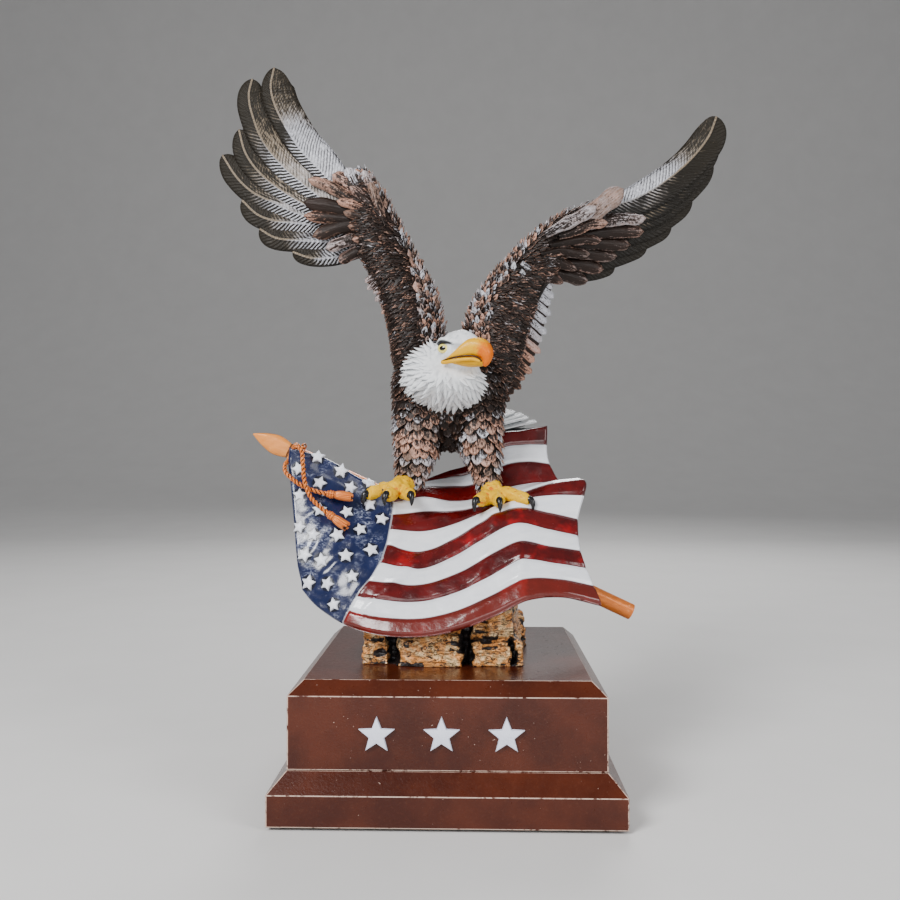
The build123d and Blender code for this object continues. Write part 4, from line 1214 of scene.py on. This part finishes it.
LEFT_SMALL_COVERTS = (
    (((-30, 240), (-33, 248), (-35, 254), (-37, 260)), (2.2, 2.4), 0.25, 1.00),
    (((-32, 244), (-37, 250), (-42, 255), (-46, 258)), (2.3, 2.2), 0.35, 0.75),
    (((-31, 243), (-38, 247), (-45, 250), (-52, 251.5)), (2.2, 2.4), 0.00, 0.95),
    (((-29, 239), (-36, 243), (-43, 245), (-49, 246.5)), (2.1, 2.2), 0.10, 0.75),
    (((-28, 236), (-35, 238.5), (-41, 240), (-47, 240)), (2.1, 2.1), 0.10, 0.60),
    (((-27, 233), (-33, 234.5), (-39, 235), (-45, 234)), (2.1, 2.1), 0.30, 0.70),
    (((-26, 229), (-31, 230), (-36, 230), (-42, 228.5)), (2.1, 2.1), 0.15, 0.50),
)
LEFT_ARM = (
    (-14, 5, 168, 8, 8), (-14.5, 6, 178, 11, 10), (-15, 7, 188, 12, 9.5), (-17, 8, 200, 12.5, 8.6),
    (-21, 10, 212, 12.6, 7.8), (-27, 12, 223, 12.6, 7.2), (-32, 13.5, 234, 12.0, 6.6),
    (-36, 15, 245, 10.5, 5.8), (-38.5, 16.5, 255, 7.8, 4.8), (-40.5, 18, 263, 4.2, 3.2), (-41, 18.5, 267, 1.5, 1.5),
)
RIGHT_PRIMARIES = (
    (((60, 244), (72, 248.3), (83.5, 252.5), (95, 259.2), (106, 268.3), (114.5, 278.8), (118.5, 288.5)),
     (6.8, 8.5), (1.2, 0.5), (1.1, 1.0), (1.0, 0.0)),
    (((62, 241), (78, 244), (93, 250), (104.5, 259.5), (112.5, 269.5), (118, 279.5)),
     (5.5, 6.0), (0.5, 0.3), 0.8, (0.35, 0.0)),
    (((60, 238), (76, 240), (91, 245), (102, 252.5), (110, 260.5), (116, 269)),
     (5.5, 5.5), (0.5, 0.3), 0.8, (0.35, 0.0)),
    (((58, 234), (74, 235), (88, 239), (98, 245), (107, 253)),
     (5.5, 5.5), (0.4, 0.3), 0.7, (0.30, 0.0)),
    (((55, 229), (69, 229.5), (81, 232), (91, 236.5), (98, 241)),
     (5.5, 5.0), (0.4, 0.3), 0.6, (0.30, 0.0)),
    (((51, 224), (63, 223.5), (73, 226), (82, 229.5), (87, 232.5)),
     (5.0, 5.0), (0.3, 0.3), 0.5, (0.25, 0.0)),
    (((47, 220), (56, 219), (65, 220), (73, 223)), (4.8, 4.5), (0.3, 0.3), 0.4, (0.2, 0.0)),
)
RIGHT_COVERTS = (
    (((50, 237), (59, 242.5), (68, 249.5), (77.0, 256.2)), (4.2, 4.4), 0.34, 1.35),
    (((58, 239), (68, 242), (77, 243.3), (87, 243)), (3.2, 3.2), 0.45, 0.85),
    (((56, 235), (66, 237), (76, 237.5), (86, 237)), (3.2, 3.2), 0.34, 0.43),
    (((54, 231), (62, 232), (71, 232), (80, 231)), (3.2, 3.2), 0.34, 0.41),
    (((50, 227), (58, 228), (66, 227), (74, 226)), (3.2, 3.2), 0.34, 0.44),
    (((45, 223), (53, 223), (61, 222), (68, 220)), (3.2, 3.2), 0.34, 0.43),
    (((40, 219), (47, 219), (54, 217), (61, 215)), (3.2, 3.2), 0.34, 0.45),
)
RIGHT_SMALL_COVERTS = (
    (((42, 236), (50, 240.5), (57, 244), (65, 248.5)), (2.6, 3.0), 0.45, 1.10),
    (((48, 235), (56, 238), (62, 241), (70, 241)), (2.6, 2.6), 0.30, 0.80),
    (((44, 231), (52, 233), (60, 234), (67, 233)), (2.4, 2.4), 0.34, 0.45),
    (((40, 227), (48, 229), (55, 228), (62, 227)), (2.4, 2.4), 0.34, 0.48),
    (((36, 223), (43, 224), (50, 223), (56, 220)), (2.4, 2.4), 0.34, 0.47),
    (((32, 218), (39, 219), (45, 217), (50, 214)), (2.4, 2.4), 0.34, 0.48),
)
RIGHT_ARM = (
    (16, 8, 166, 9, 9), (17.5, 8, 178, 12.5, 10), (19.5, 9, 190, 14, 9.5), (23, 10, 202, 14.5, 8.6),
    (29, 11.5, 213, 14, 7.8), (36.5, 12.5, 223, 13.0, 7.0), (44, 13.5, 232, 11.5, 6.2),
    (51, 14.5, 240, 9.0, 5.4), (58, 15.5, 246, 6.0, 4.2), (65, 16.5, 250, 3.0, 2.4),
)


def flipped(rows):
    """The same feathers as seen from behind, where each lies over the one nearer the root."""
    return [(places, halves[::-1], min(1.0, silver * 0.6 + 0.2), max(glow, 0.7))
            for places, halves, silver, glow in rows]


def arm_scale(leading, outward, bare):
    """Style of an arm's feathers: pale curled ones on the leading edge, dark hair-like ones behind it.

    leading gives the x of the leading edge at a height, outward the ways that the two kinds lie,
    bare the places that the secondaries cover.
    """
    def style(spot, face, dice):
        if bare(spot):
            return None
        edge = abs(spot[0] - leading(spot[2]))
        on_edge = 1.0 - float(rise(edge, 7.0, 11.0))
        way = outward(spot)
        sway = np.array((dice.uniform(-0.3, 0.3), dice.uniform(-0.2, 0.2), dice.uniform(-0.3, 0.3)))
        if dice.random() < on_edge:
            size = dice.uniform(0.85, 1.45)
            return {"ahead": way["edge"] + 3.0 * sway, "length": size * 2.6, "half": size, "lift": size * 1.15,
                    "dome": size * 0.35, "silver": dice.random() * 0.8, "glow": dice.uniform(0.5, 1.45),
                    "flutes": 0.08}
        size = dice.uniform(0.62, 0.95)
        return {"ahead": way["hair"] + 1.4 * sway, "length": size * 4.8, "half": size, "lift": size * 0.80,
                "dome": size * 0.40, "silver": dice.random() ** 2 * 0.6, "glow": dice.uniform(0.2, 0.85),
                "pointed": 0.6, "rows": 5, "columns": 5}
    return style


# The arms' leading edges: height and x.
LEFT_LEADING = ((168, -5), (184, -3), (199, -5), (222, -9), (237, -14), (250, -22), (259, -31), (266, -39))
RIGHT_LEADING = ((170, 8), (194, 7), (208, 11), (222, 20), (234, 30), (247, 45), (252, 62))


def left_ways(spot):
    climb = float(rise(spot[2], 205, 245))
    return {"edge": np.array((-0.45 - 0.3 * climb, 0.0, 1.0)), "hair": np.array((-1.0, 0.0, -0.55 + 0.55 * climb))}


def right_ways(spot):
    climb = float(rise(spot[2], 200, 240))
    return {"edge": np.array((0.45 + 0.5 * climb, 0.0, 1.0 - 0.2 * climb)),
            "hair": np.array((1.0, 0.0, -0.35 + 0.5 * climb))}


# The arms' trailing edges, with the secondaries: x and height.
LEFT_TRAILING = ((-27, 181), (-28.5, 190), (-31, 199), (-35, 207), (-40, 214))
RIGHT_TRAILING = ((26, 161), (31.5, 167), (36.5, 175), (40.5, 185), (43, 194), (45, 203), (46, 211))


def edge_at(height, edge):
    """The x of a trailing edge at a height."""
    across, heights = zip(*edge)
    return np.interp(height, heights, across)


def left_bare(spot):
    return 183 < spot[2] < 212 and spot[0] < edge_at(spot[2], LEFT_TRAILING) + 1.0


def right_bare(spot):
    return 168 < spot[2] < 212 and spot[0] > edge_at(spot[2], RIGHT_TRAILING) - 7.5 and spot[1] < 16.0


# How far each long feather lies behind the one before it.
QUILL_STEP = 0.9


def build_wing(side, surface, primaries, coverts, small_coverts, arm, leading, ways, bare, seed):
    """One wing: quills, coverts on both faces and a feathered arm."""
    node = side + "_wing"
    quills = Sculpt(side + "_primaries")
    lay_quills(quills, surface, primaries, FRONT, 0.0, QUILL_STEP, thick=1.7, camber=0.9)
    quills.finish(plumage, "bronze_plumage", node)
    cover = Sculpt(side + "_coverts")
    middle = QUILL_STEP * len(primaries) * 0.5
    for rows, facing, offset, step, thick, camber, blunt in (
            (coverts, FRONT, -3.4, 0.35, 1.5, 1.0, 0.22),
            (small_coverts, FRONT, -5.6, 0.2, 1.4, 1.1, 0.25),
            (flipped(coverts), -FRONT, middle + 3.4, -0.1, 1.5, 1.4, 0.22),
            (flipped(small_coverts), -FRONT, middle + 5.2, -0.1, 1.4, 1.2, 0.25)):
        lay_quills(cover, surface, rows, facing, offset, step, ribs=0.0, thick=thick, camber=camber,
                   two_sided=False, blunt=blunt, shaft=0.30, columns=9)
    cover.finish(plumage, "bronze_plumage", node)
    places, normals = feather_base(side + "_arm_base", (arm,), 2, node)
    heights, edges = zip(*leading)
    feathers = Sculpt(side + "_arm_feathers")
    style = arm_scale(lambda z: float(np.interp(z, heights, edges)), ways, bare)
    coat(feathers, places, normals, 1.45, seed, style)
    feathers.finish(plumage, "bronze_plumage", node)


build_wing("left", left_wing_y, LEFT_PRIMARIES, LEFT_COVERTS, LEFT_SMALL_COVERTS, LEFT_ARM,
           LEFT_LEADING, left_ways, left_bare, 21)
build_wing("right", right_wing_y, RIGHT_PRIMARIES, RIGHT_COVERTS, RIGHT_SMALL_COVERTS, RIGHT_ARM,
           RIGHT_LEADING, right_ways, right_bare, 22)

# Secondaries: a ladder of short quills down the trailing edge of each arm. Its front and back
# sheets stand apart at the arm and close towards the tips.
LADDER_LIFTS = ((-5.6, FRONT, 0.3), (4.6, -FRONT, 0.7))
LADDER_CLOSING = np.array((1.0, 0.95, 0.65, 0.35))
ladder = Sculpt("secondaries")
for trailing, surface, count, way, half, silver, glow in (
        (LEFT_TRAILING, left_wing_y, 12, (-0.80, -0.60), 1.35, 0.5, 0.75),
        (RIGHT_TRAILING, right_wing_y, 14, (0.76, -0.65), 1.65, 1.0, 1.30)):
    ends = curve_at(trailing, 2 * count - 1)
    way = unit(np.array(way))
    for index, end in enumerate(ends):
        backing = index % 2
        height = index / (2 * count - 2)
        bright = silver * float(rise(height, 0.25, 0.75))
        shine = 0.0 if backing else glow * (0.25 + 0.75 * float(rise(height, 0.05, 0.5)))
        backs = (19.0, 12.0, 5.0, 1.0 - 1.2 * (index % 4 == 0))
        places = [tuple(end - way * (back + 0.9 * backing)) for back in backs]
        for lift, facing, tone in LADDER_LIFTS:
            lift -= 0.9 * backing * (1 if lift > 0 else -1)
            quill(ladder, on_wing(surface, places, lift * LADDER_CLOSING), (half, half), facing, 0.8, 0.0,
                  18, bright, shine * (1.0 if lift < 0 else 0.7), tone + index * 0.13, 0.6, blunt=0.13,
                  two_sided=False, shaft=0.0, columns=9)
ladder.finish(plumage, "bronze_plumage", "left_wing", "right_wing")

# ------------------------------------------------------------------ tail
TAIL_ROOT = np.array((6.0, 19.0, 147.0))
TAIL_TURN = math.radians(-8.0)
TAIL_RISE = math.radians(18.5)
TAIL_QUILLS = 15
TAIL_ROWS = 50
TAIL_COLUMNS = 13
TAIL_SPREAD = math.radians(100.0)
tail_paint = white_feather_paint("tail_paint", (0.60, 0.62, 0.64), (0.86, 0.87, 0.88), (0.16, 0.17, 0.18))
tail = Sculpt("tail_fan")


def tail_point(turn, reach, lift):
    """A place of the tail's rising plane."""
    flat = np.array((reach * math.sin(turn), reach * math.cos(turn) * math.cos(TAIL_RISE),
                     reach * math.cos(turn) * math.sin(TAIL_RISE) + lift))
    c, s = math.cos(-TAIL_TURN), math.sin(-TAIL_TURN)
    return TAIL_ROOT + np.array((c * flat[0] + s * flat[1], -s * flat[0] + c * flat[1], flat[2]))


def tail_quill(turn, start, length, half, lift, under, facing):
    """A fluted white feather of the tail; under is how grey its paint is, as painted shadow."""
    spine = [tail_point(turn, reach, lift + 0.5 * math.sin(reach / length * 3.0))
             for reach in np.linspace(start, length, 6)]
    line = curve_at(spine, TAIL_ROWS)
    ahead = unit(np.gradient(line, axis=0))
    side = unit(np.cross(ahead, facing))
    face = np.cross(side, ahead)
    part = np.linspace(0, 1, TAIL_ROWS)
    end = np.clip((part - 0.82) / 0.18, 0, 1)
    swell = (0.45 + 0.55 * rise(part, 0, 0.6)) * np.sqrt(np.maximum(1 - end ** 2, 0.01))
    cuts = np.linspace(-1, 1, TAIL_COLUMNS)
    grooves = 0.16 * np.cos(cuts * 4 * math.pi)[None, :] * rise(part, 0.15, 0.4)[:, None]
    height = 0.75 * (1 - 0.8 * cuts[None, :] ** 2) + grooves + 0.3 * np.exp(-(cuts / 0.12) ** 2)[None, :]
    middle = line[:, None] + side[:, None] * (swell[:, None] * cuts[None, :] * half)[..., None]
    front = middle + face[:, None] * height[..., None]
    back = middle - face[:, None] * 0.35
    # Flutes and borders get a high hollow value: painted shade.
    hollow = np.clip(0.5 - grooves * 3.0 + 0.4 * np.abs(cuts[None, :]) ** 4, 0, 1)
    tail.add(both(front, back), shell_faces(TAIL_ROWS, TAIL_COLUMNS), hollow=twice(hollow), under=under)


for index in range(TAIL_QUILLS):
    part = index / (TAIL_QUILLS - 1) - 0.5
    turn = TAIL_SPREAD * part
    length = 39.5 - 1.2 * (index % 2)
    stack = 0.35 * (index % 2) - 14.0 * part ** 2
    tail_quill(turn, 2.0, length, 4.5, 1.0 + stack, 0.0, UP)
    # The two lower layers are painted grey: painted shadow under the top layer.
    tail_quill(turn, 2.0, length - 1.5, 4.2, -1.6 + stack, 0.72, -UP)
    tail_quill(turn, 2.0, length - 2.5, 4.2, -3.6 + stack, 0.80, -UP)
    if index % 2 == 0:
        tail_quill(turn * 0.8, 0.0, 24.0, 4.0, 2.6 - 9.0 * part ** 2, 0.0, UP)
tail.finish(tail_paint, "tail_paint", "tail")

# ------------------------------------------------------------------ feet
LEFT_FOOT = np.array((-21.0, -4.0, 125.0))
RIGHT_FOOT = np.array((18.5, -3.0, 122.5))
LEFT_ANKLE = np.array((-17.5, 3.0, 128.0))
RIGHT_ANKLE = np.array((16.0, 3.0, 127.0))
LEFT_TOES = ((-55.0, 16.0), (-20.0, 14.5), (18.0, 14.5), (165.0, 8.0))
RIGHT_TOES = ((-32.0, 13.0), (8.0, 13.5), (57.0, 16.5), (190.0, 8.0))
FOOT_VOXEL = 0.42
TALON_ROWS = 22
skin = foot_paint()
talon_paint = dark_gloss("talon_black", (0.008, 0.008, 0.009), 0.22)


def rest_height(x, y, default):
    """Height of the flag's front surface under a place, or the given height where there is none."""
    hit = flag_tree.ray_cast(Vector((x, y, 160.0)), Vector((0, 0, -1)))[0]
    return default if hit is None else hit.z


def build_foot(name, node, centre, ankle, toes, seed):
    """A scaly foot whose toes lie on the flag; each toe is a turn in degrees and a length."""
    dice = random.Random(seed)
    core = Sculpt(name)
    talons = Sculpt(name + "_talons")
    tube(core, [ankle - (0, 0, 1.0), ankle - (0, 0, 2.5), 0.5 * (ankle + centre) - (0, 0, 2.0),
                centre - (0, 0, 1.5), centre - (0, 0, 3.5)], (3.8, 4.2, 4.4, 4.6, 3.0), 16)
    for turn, length in toes:
        ahead = np.array((math.sin(math.radians(turn)), -math.cos(math.radians(turn)), 0.0))
        joints = [centre + ahead * length * part for part in (0.15, 0.42, 0.70, 1.0)]
        for index, joint in enumerate(joints):
            ground = rest_height(joint[0], joint[1], centre[2] - 5.0)
            floor_z = min(max(ground, centre[2] - 6.0), centre[2] - 1.0)
            joint[2] = max(floor_z + 2.1 - 0.25 * index, centre[2] - 3.6 - 1.3 * index) + 0.5 * (index == 1)
        line = resampled(joints, 0.5)
        part = np.linspace(0, 1, len(line))
        knuckles = 0.55 * np.abs(np.cos(part * math.pi * 2.5))
        tube(core, line, 3.1 - 0.9 * part + knuckles, 14)
        tube(core, [line[-1] - ahead * 0.8, line[-1], line[-1] + ahead * 0.9, line[-1] + ahead * 1.3],
             (1.5, 2.3, 1.7, 0.5), 12)
        start = line[-1] + ahead * 0.2
        hook = [start, start + ahead * 1.5 + (0, 0, 0.1), start + ahead * 2.5 - (0, 0, 1.5),
                start + ahead * 2.6 - (0, 0, 3.2), start + ahead * 2.1 - (0, 0, 4.6)]
        widths = np.linspace(1.8, 0.45, TALON_ROWS) - 0.3 * np.linspace(0, 1, TALON_ROWS) ** 6
        tube(talons, curve_at(hook, TALON_ROWS), widths, 12)
    mesh = remeshed(name, core.mesh(), FOOT_VOXEL, 2)
    places, normals = vertices_of(mesh)
    shifted = Vector((seed, 0, 0))
    relief = np.array([1.0 - 2.2 * abs(noise.noise(Vector(spot) / 1.9 + shifted)) for spot in places])
    lumps = np.array([noise.noise(Vector(spot) / 3.2) for spot in places])
    move_vertices(mesh, places + normals * (0.30 * relief + 0.45 * lumps - 0.1)[:, None])
    float_layer(mesh, "high", np.clip(0.5 + 0.5 * relief, 0, 1))
    mesh.shade_smooth()
    place(bpy.data.objects.new(name, mesh), skin, "foot_paint", node)
    talons.finish(talon_paint, "foot_paint", node)


build_foot("left_foot_skin", "left_foot", LEFT_FOOT, LEFT_ANKLE, LEFT_TOES, 5)
build_foot("right_foot_skin", "right_foot", RIGHT_FOOT, RIGHT_ANKLE, RIGHT_TOES, 6)

# ------------------------------------------------------------------ head
HEAD_AHEAD = unit(np.array((0.80, -0.60, 0.0)))
HEAD_SIDE = np.array((HEAD_AHEAD[1], -HEAD_AHEAD[0], 0.0))
HEAD_UP = np.array((0.0, 0.0, 1.0))
SKULL = np.array((4.3, -20.5, 178.4))


def head_point(forward, sideways, up):
    """A place in the head's own frame; sideways is positive on the side that faces the viewer."""
    return SKULL + HEAD_AHEAD * forward + HEAD_SIDE * sideways + HEAD_UP * up


def head_line(places, sign=1):
    """Places of the head's frame as a line in space; a sign of -1 gives the far side's."""
    return [head_point(forward, sign * sideways, up) for forward, sideways, up in places]


head_paint = white_feather_paint("head_paint", (0.62, 0.64, 0.66), (0.88, 0.89, 0.90), (0.26, 0.28, 0.31))
head_core = Sculpt("head_core")
RUFF = (
    (-1, -9, 157, 6, 4.5), (-1.5, -11, 160.5, 11.5, 9.5), (-2.2, -12, 164.5, 15.0, 12.5),
    (-2.4, -12.5, 169, 15.8, 13), (-2.6, -12, 174, 14.8, 10.0), (-2.4, -12, 178.5, 12.5, 8.0),
    (-0.5, -12.5, 182, 8.5, 6.5), (1.5, -13, 184.5, 4.5, 4.5),
)
HEAD_VOXEL = 0.6
stack_shell(head_core, RUFF)
tube(head_core, [head_point(forward, -1.0, up) for forward, up in
                 ((-9, 0), (-6.5, 0.6), (-3, 1.2), (1, 1.5), (4.5, 1.2), (7.5, 0.8), (9.5, 0.6))],
     (3.0, 7.0, 8.4, 8.6, 7.0, 4.9, 2.8), 24)
for sign in (1, -1):
    tube(head_core, head_line(((-7.5, 6.0, 4.0), (-4.5, 7.0, 5.0), (-1.0, 6.9, 4.9), (2.5, 5.6, 4.0),
                               (5.0, 4.4, 3.0)), sign), (0.8, 1.6, 1.7, 1.4, 0.7), 12)
head_mesh = remeshed("head_base", head_core.mesh(), HEAD_VOXEL, 6)
head_places, head_normals = vertices_of(head_mesh)
grain_lines = noise_at(head_places / (1.1, 1.1, 4.0))
move_vertices(head_mesh, head_places + head_normals * (0.18 * grain_lines)[:, None])
local = head_places - SKULL
forward, sideways = local @ HEAD_AHEAD, local @ HEAD_SIDE
brow_line = 4.2 - 0.050 * (forward + 2.6) ** 2
brow_thick = 0.95 - 0.13 * np.abs(forward + 3.8)
# A near-black band along and under the brow ridge: painted shadow.
brow_shadow = (rise(brow_thick, 0.0, 0.4) * rise(np.abs(sideways), 4.0, 5.5)
        * (1 - rise(np.abs(local[:, 2] - brow_line) - np.maximum(brow_thick, 0), -0.3, 0.5)))
# Lores: the grey patch between the eye and the beak.
lores = 0.35 * rise(forward, 0.0, 3.0) * (1 - rise(forward, 6.0, 8.0)) * rise(np.abs(sideways), 3.0, 4.4) * (
    rise(local[:, 2], 0.5, 1.5) * (1 - rise(local[:, 2], 3.0, 4.4)))
# Where the grain sinks, hollow greys the white: painted shade.
float_layer(head_mesh, "hollow", np.clip(0.25 - 0.6 * grain_lines, 0, 1))
# under holds the brow's painted shadow and the grey patch of the lores.
float_layer(head_mesh, "under", np.clip(np.maximum(brow_shadow, lores), 0, 1))
head_mesh.shade_smooth()
place(bpy.data.objects.new("head_base", head_mesh), head_paint, "head_paint", "eagle_head")

locks = Sculpt("head_ruff")
lock_dice = random.Random(31)
FACE = np.array((1.0, -31.0, 173.0))


def add_lock(spot, face, length, half, lift):
    """A curved pointed lock of feathers that streams away from the face."""
    away = unit((spot - FACE) * (1.0, 0.45, 1.0))
    stray = (0.25 * lock_dice.uniform(-1, 1), 0.0, 0.25 * lock_dice.uniform(-1, 1) - 0.12)
    stream = unit(away + np.array(stray))
    ahead = unit(stream - face * float(np.dot(stream, face)))
    side = np.cross(ahead, face)
    curl = lock_dice.uniform(-0.30, 0.30) * length
    part = np.linspace(0, 1, 12)[:, None]
    cuts = np.linspace(-1, 1, 7)[None, :]
    width = half * (0.5 + 0.5 * rise(part, 0, 0.35)) * np.minimum(1.0, (1.05 - part) / 0.62)
    droop = lift * part ** 1.5
    height = droop + 0.42 * half * (1 - cuts ** 2) * (1 - 0.4 * part) + 0.16 * np.cos(cuts * 2.2 * math.pi)
    centre = spot + ahead * (part * length)[..., None] + side * (curl * part ** 2)[..., None]
    front = centre + side * (width * cuts)[..., None] + face * height[..., None]
    sunk = spot + ahead * length * 0.3 - face * 1.2
    # The borders and roots of each lock are greyed: painted shade between locks.
    hollow = np.append(np.clip(np.abs(cuts) ** 3 * 0.8 + 0.35 * (1 - part), 0, 1).reshape(-1), 1.0)
    locks.add(np.vstack([front.reshape(-1, 3), sunk]), plate_faces(12, 7), hollow=hollow)


for index in spread(head_places, 1.95, 33):
    spot, face = head_places[index], unit(head_normals[index])
    ahead_here = float((spot - SKULL) @ HEAD_AHEAD)
    flat = float(np.hypot(spot[0] - FACE[0], spot[2] - FACE[2]))
    if spot[2] > 172.5 and ahead_here > -8.5 - 1.5 * lock_dice.random():
        continue
    if spot[2] > 170.0 and spot[1] < -20 and flat < 5.5:
        continue
    if spot[2] > 184.0:
        continue
    reach = float(rise(flat, 7, 14))
    length = 4.4 + 2.6 * reach + lock_dice.uniform(-0.8, 1.4)
    add_lock(spot - face * 0.5, face, length, lock_dice.uniform(1.0, 1.5), 0.5 + 1.0 * reach)
locks.finish(head_paint, "head_paint", "eagle_head")

beak = Sculpt("beak")


def beak_shell(sections, crest, belly, tip_low, tip_high, sides=24, count=44):
    """A shell through upright sections: forward, up, half width, half height, tilt in degrees."""
    angle = np.linspace(0, 2 * math.pi, sides, endpoint=False)
    points = np.empty((count, sides, 3))
    for index, (reach, up, half, tall, tilt) in enumerate(curve_at(sections, count)):
        tilt = math.radians(tilt)
        rise_way = HEAD_UP * math.cos(tilt) + HEAD_AHEAD * math.sin(tilt)
        wide = np.sign(np.cos(angle)) * np.abs(np.cos(angle)) ** 0.9 * half
        high_low = np.where(np.sin(angle) > 0, np.sin(angle) ** crest, -np.abs(np.sin(angle)) ** belly) * tall
        points[index] = head_point(reach, 0, up) + np.outer(wide, HEAD_SIDE) + np.outer(high_low, rise_way)
    tips = np.repeat(np.linspace(tip_low, tip_high, count), sides)
    beak.add(points, capped_rings(count, sides), tip=tips, hollow=0.0)


UPPER_BEAK = (
    (-3.8, -2.9, 7.0, 0.4, 0), (-1.5, -2.4, 7.4, 0.8, 0), (1.0, -1.3, 7.5, 1.8, 0), (3.5, 0.1, 7.0, 3.0, 0),
    (6.0, 1.4, 6.0, 4.1, 0), (8.5, 2.0, 5.0, 4.1, 4), (10.8, 1.5, 4.2, 3.9, 18), (12.6, 0.2, 3.4, 3.3, 38),
    (13.6, -1.5, 2.6, 2.6, 62), (13.5, -3.3, 1.8, 2.0, 84), (12.8, -4.8, 1.2, 1.4, 102),
    (12.2, -5.8, 0.5, 0.7, 112),
)
LOWER_BEAK = (
    (-2.5, -3.5, 6.5, 0.6, 0), (1.0, -3.9, 6.1, 1.2, 0), (4.5, -4.1, 5.1, 1.6, 0), (8.0, -4.1, 4.0, 1.7, 0),
    (10.4, -4.1, 3.1, 1.6, 4), (12.0, -4.2, 1.9, 1.2, 10), (12.7, -4.2, 0.8, 0.6, 14),
)
beak_shell(UPPER_BEAK, 0.75, 0.6, -0.15, 1.0)
beak_shell(LOWER_BEAK, 0.8, 1.0, -0.2, 0.45)
for sign in (1, -1):
    mouth = head_line(((-3.9, 7.2, -3.2), (-1.6, 7.7, -2.9), (2.0, 7.3, -2.2), (6.2, 5.95, -1.7),
                       (10.2, 4.45, -1.9), (12.0, 3.4, -2.8), (12.6, 2.3, -4.0)), sign)
    lower_lip = head_line(((-3.9, 6.9, -3.7), (-1.6, 7.2, -3.8), (2.0, 6.8, -3.5), (6.2, 5.5, -3.1),
                           (10.0, 4.0, -3.2), (12.0, 2.6, -4.1)), sign)
    # The mouth is a thin near-black tube: painted shade between upper and lower beak.
    tube(beak, curve_at(mouth, 40), np.linspace(0.30, 0.34, 40), 8, tip=0.0, hollow=1.0)
    tube(beak, curve_at(lower_lip, 26), np.linspace(0.95, 0.70, 26), 12, tip=-0.2, hollow=0.0)
beak.finish(beak_paint(), "head_paint", "eagle_head")

EYE_RADIUS = 2.55
EYE_RINGS = 10
EYE_SIDES = 28
eyes = Sculpt("eyes")
for sign in (1, -1):
    out = unit(HEAD_SIDE * sign * 0.96 + HEAD_AHEAD * 0.22)
    socket = head_point(-3.2, sign * 6.6 - 0.1, 1.8)
    look_up = unit(np.cross(out, np.cross(HEAD_UP, out)))
    look_side = np.cross(look_up, out)
    points, values = [socket + out * 2.0], [0.0]
    for part in np.linspace(0, 1, EYE_RINGS + 1)[1:]:
        for turn in np.linspace(0, 2 * math.pi, EYE_SIDES, endpoint=False):
            spoke = look_side * math.cos(turn) * 1.18 + look_up * math.sin(turn) * 0.84
            points.append(socket + out * (2.0 * math.cos(part * 1.45))
                          + EYE_RADIUS * math.sin(part * 1.45) * spoke)
            values.append(part * 1.15)
    faces = [(0, 1 + (step + 1) % EYE_SIDES, 1 + step) for step in range(EYE_SIDES)]
    faces += ring_faces(EYE_RINGS, EYE_SIDES, 1)
    rim_start, last = 1 + (EYE_RINGS - 1) * EYE_SIDES, len(points)
    points.append(socket - out * 2.0)
    values.append(2.0)
    faces += [(last, rim_start + step, rim_start + (step + 1) % EYE_SIDES) for step in range(EYE_SIDES)]
    eyes.add(points, faces, reach=values)
eyes.finish(eye_paint(), "head_paint", "eagle_head")

# ------------------------------------------------------------------ floor
# A floor that curves up into a backdrop, in metres: distance behind the statuette, and height.
SWEEP = ((-4.0, 0.0), (1.1, 0.0), (1.5, 0.03), (1.85, 0.14), (2.15, 0.34), (2.4, 0.62), (2.55, 0.95),
         (2.6, 1.3), (2.6, 4.0))
floor_data = bpy.data.meshes.new("floor")
sweep_points = [(side, reach, height) for reach, height in SWEEP for side in (-5.0, 5.0)]
floor_data.from_pydata(sweep_points, [], [(2 * row, 2 * row + 1, 2 * row + 3, 2 * row + 2)
                                          for row in range(len(SWEEP) - 1)])
floor_data.shade_smooth()
floor = bpy.data.objects.new("floor", floor_data)
bpy.context.scene.collection.objects.link(floor)
floor_paint = Paint("floor_paint")
floor_colour = floor_paint.mix(floor_paint.noise(60.0, 2.0), (0.66, 0.65, 0.64), (0.72, 0.71, 0.70))
floor_data.materials.append(floor_paint.finish(floor_colour, 0.75))
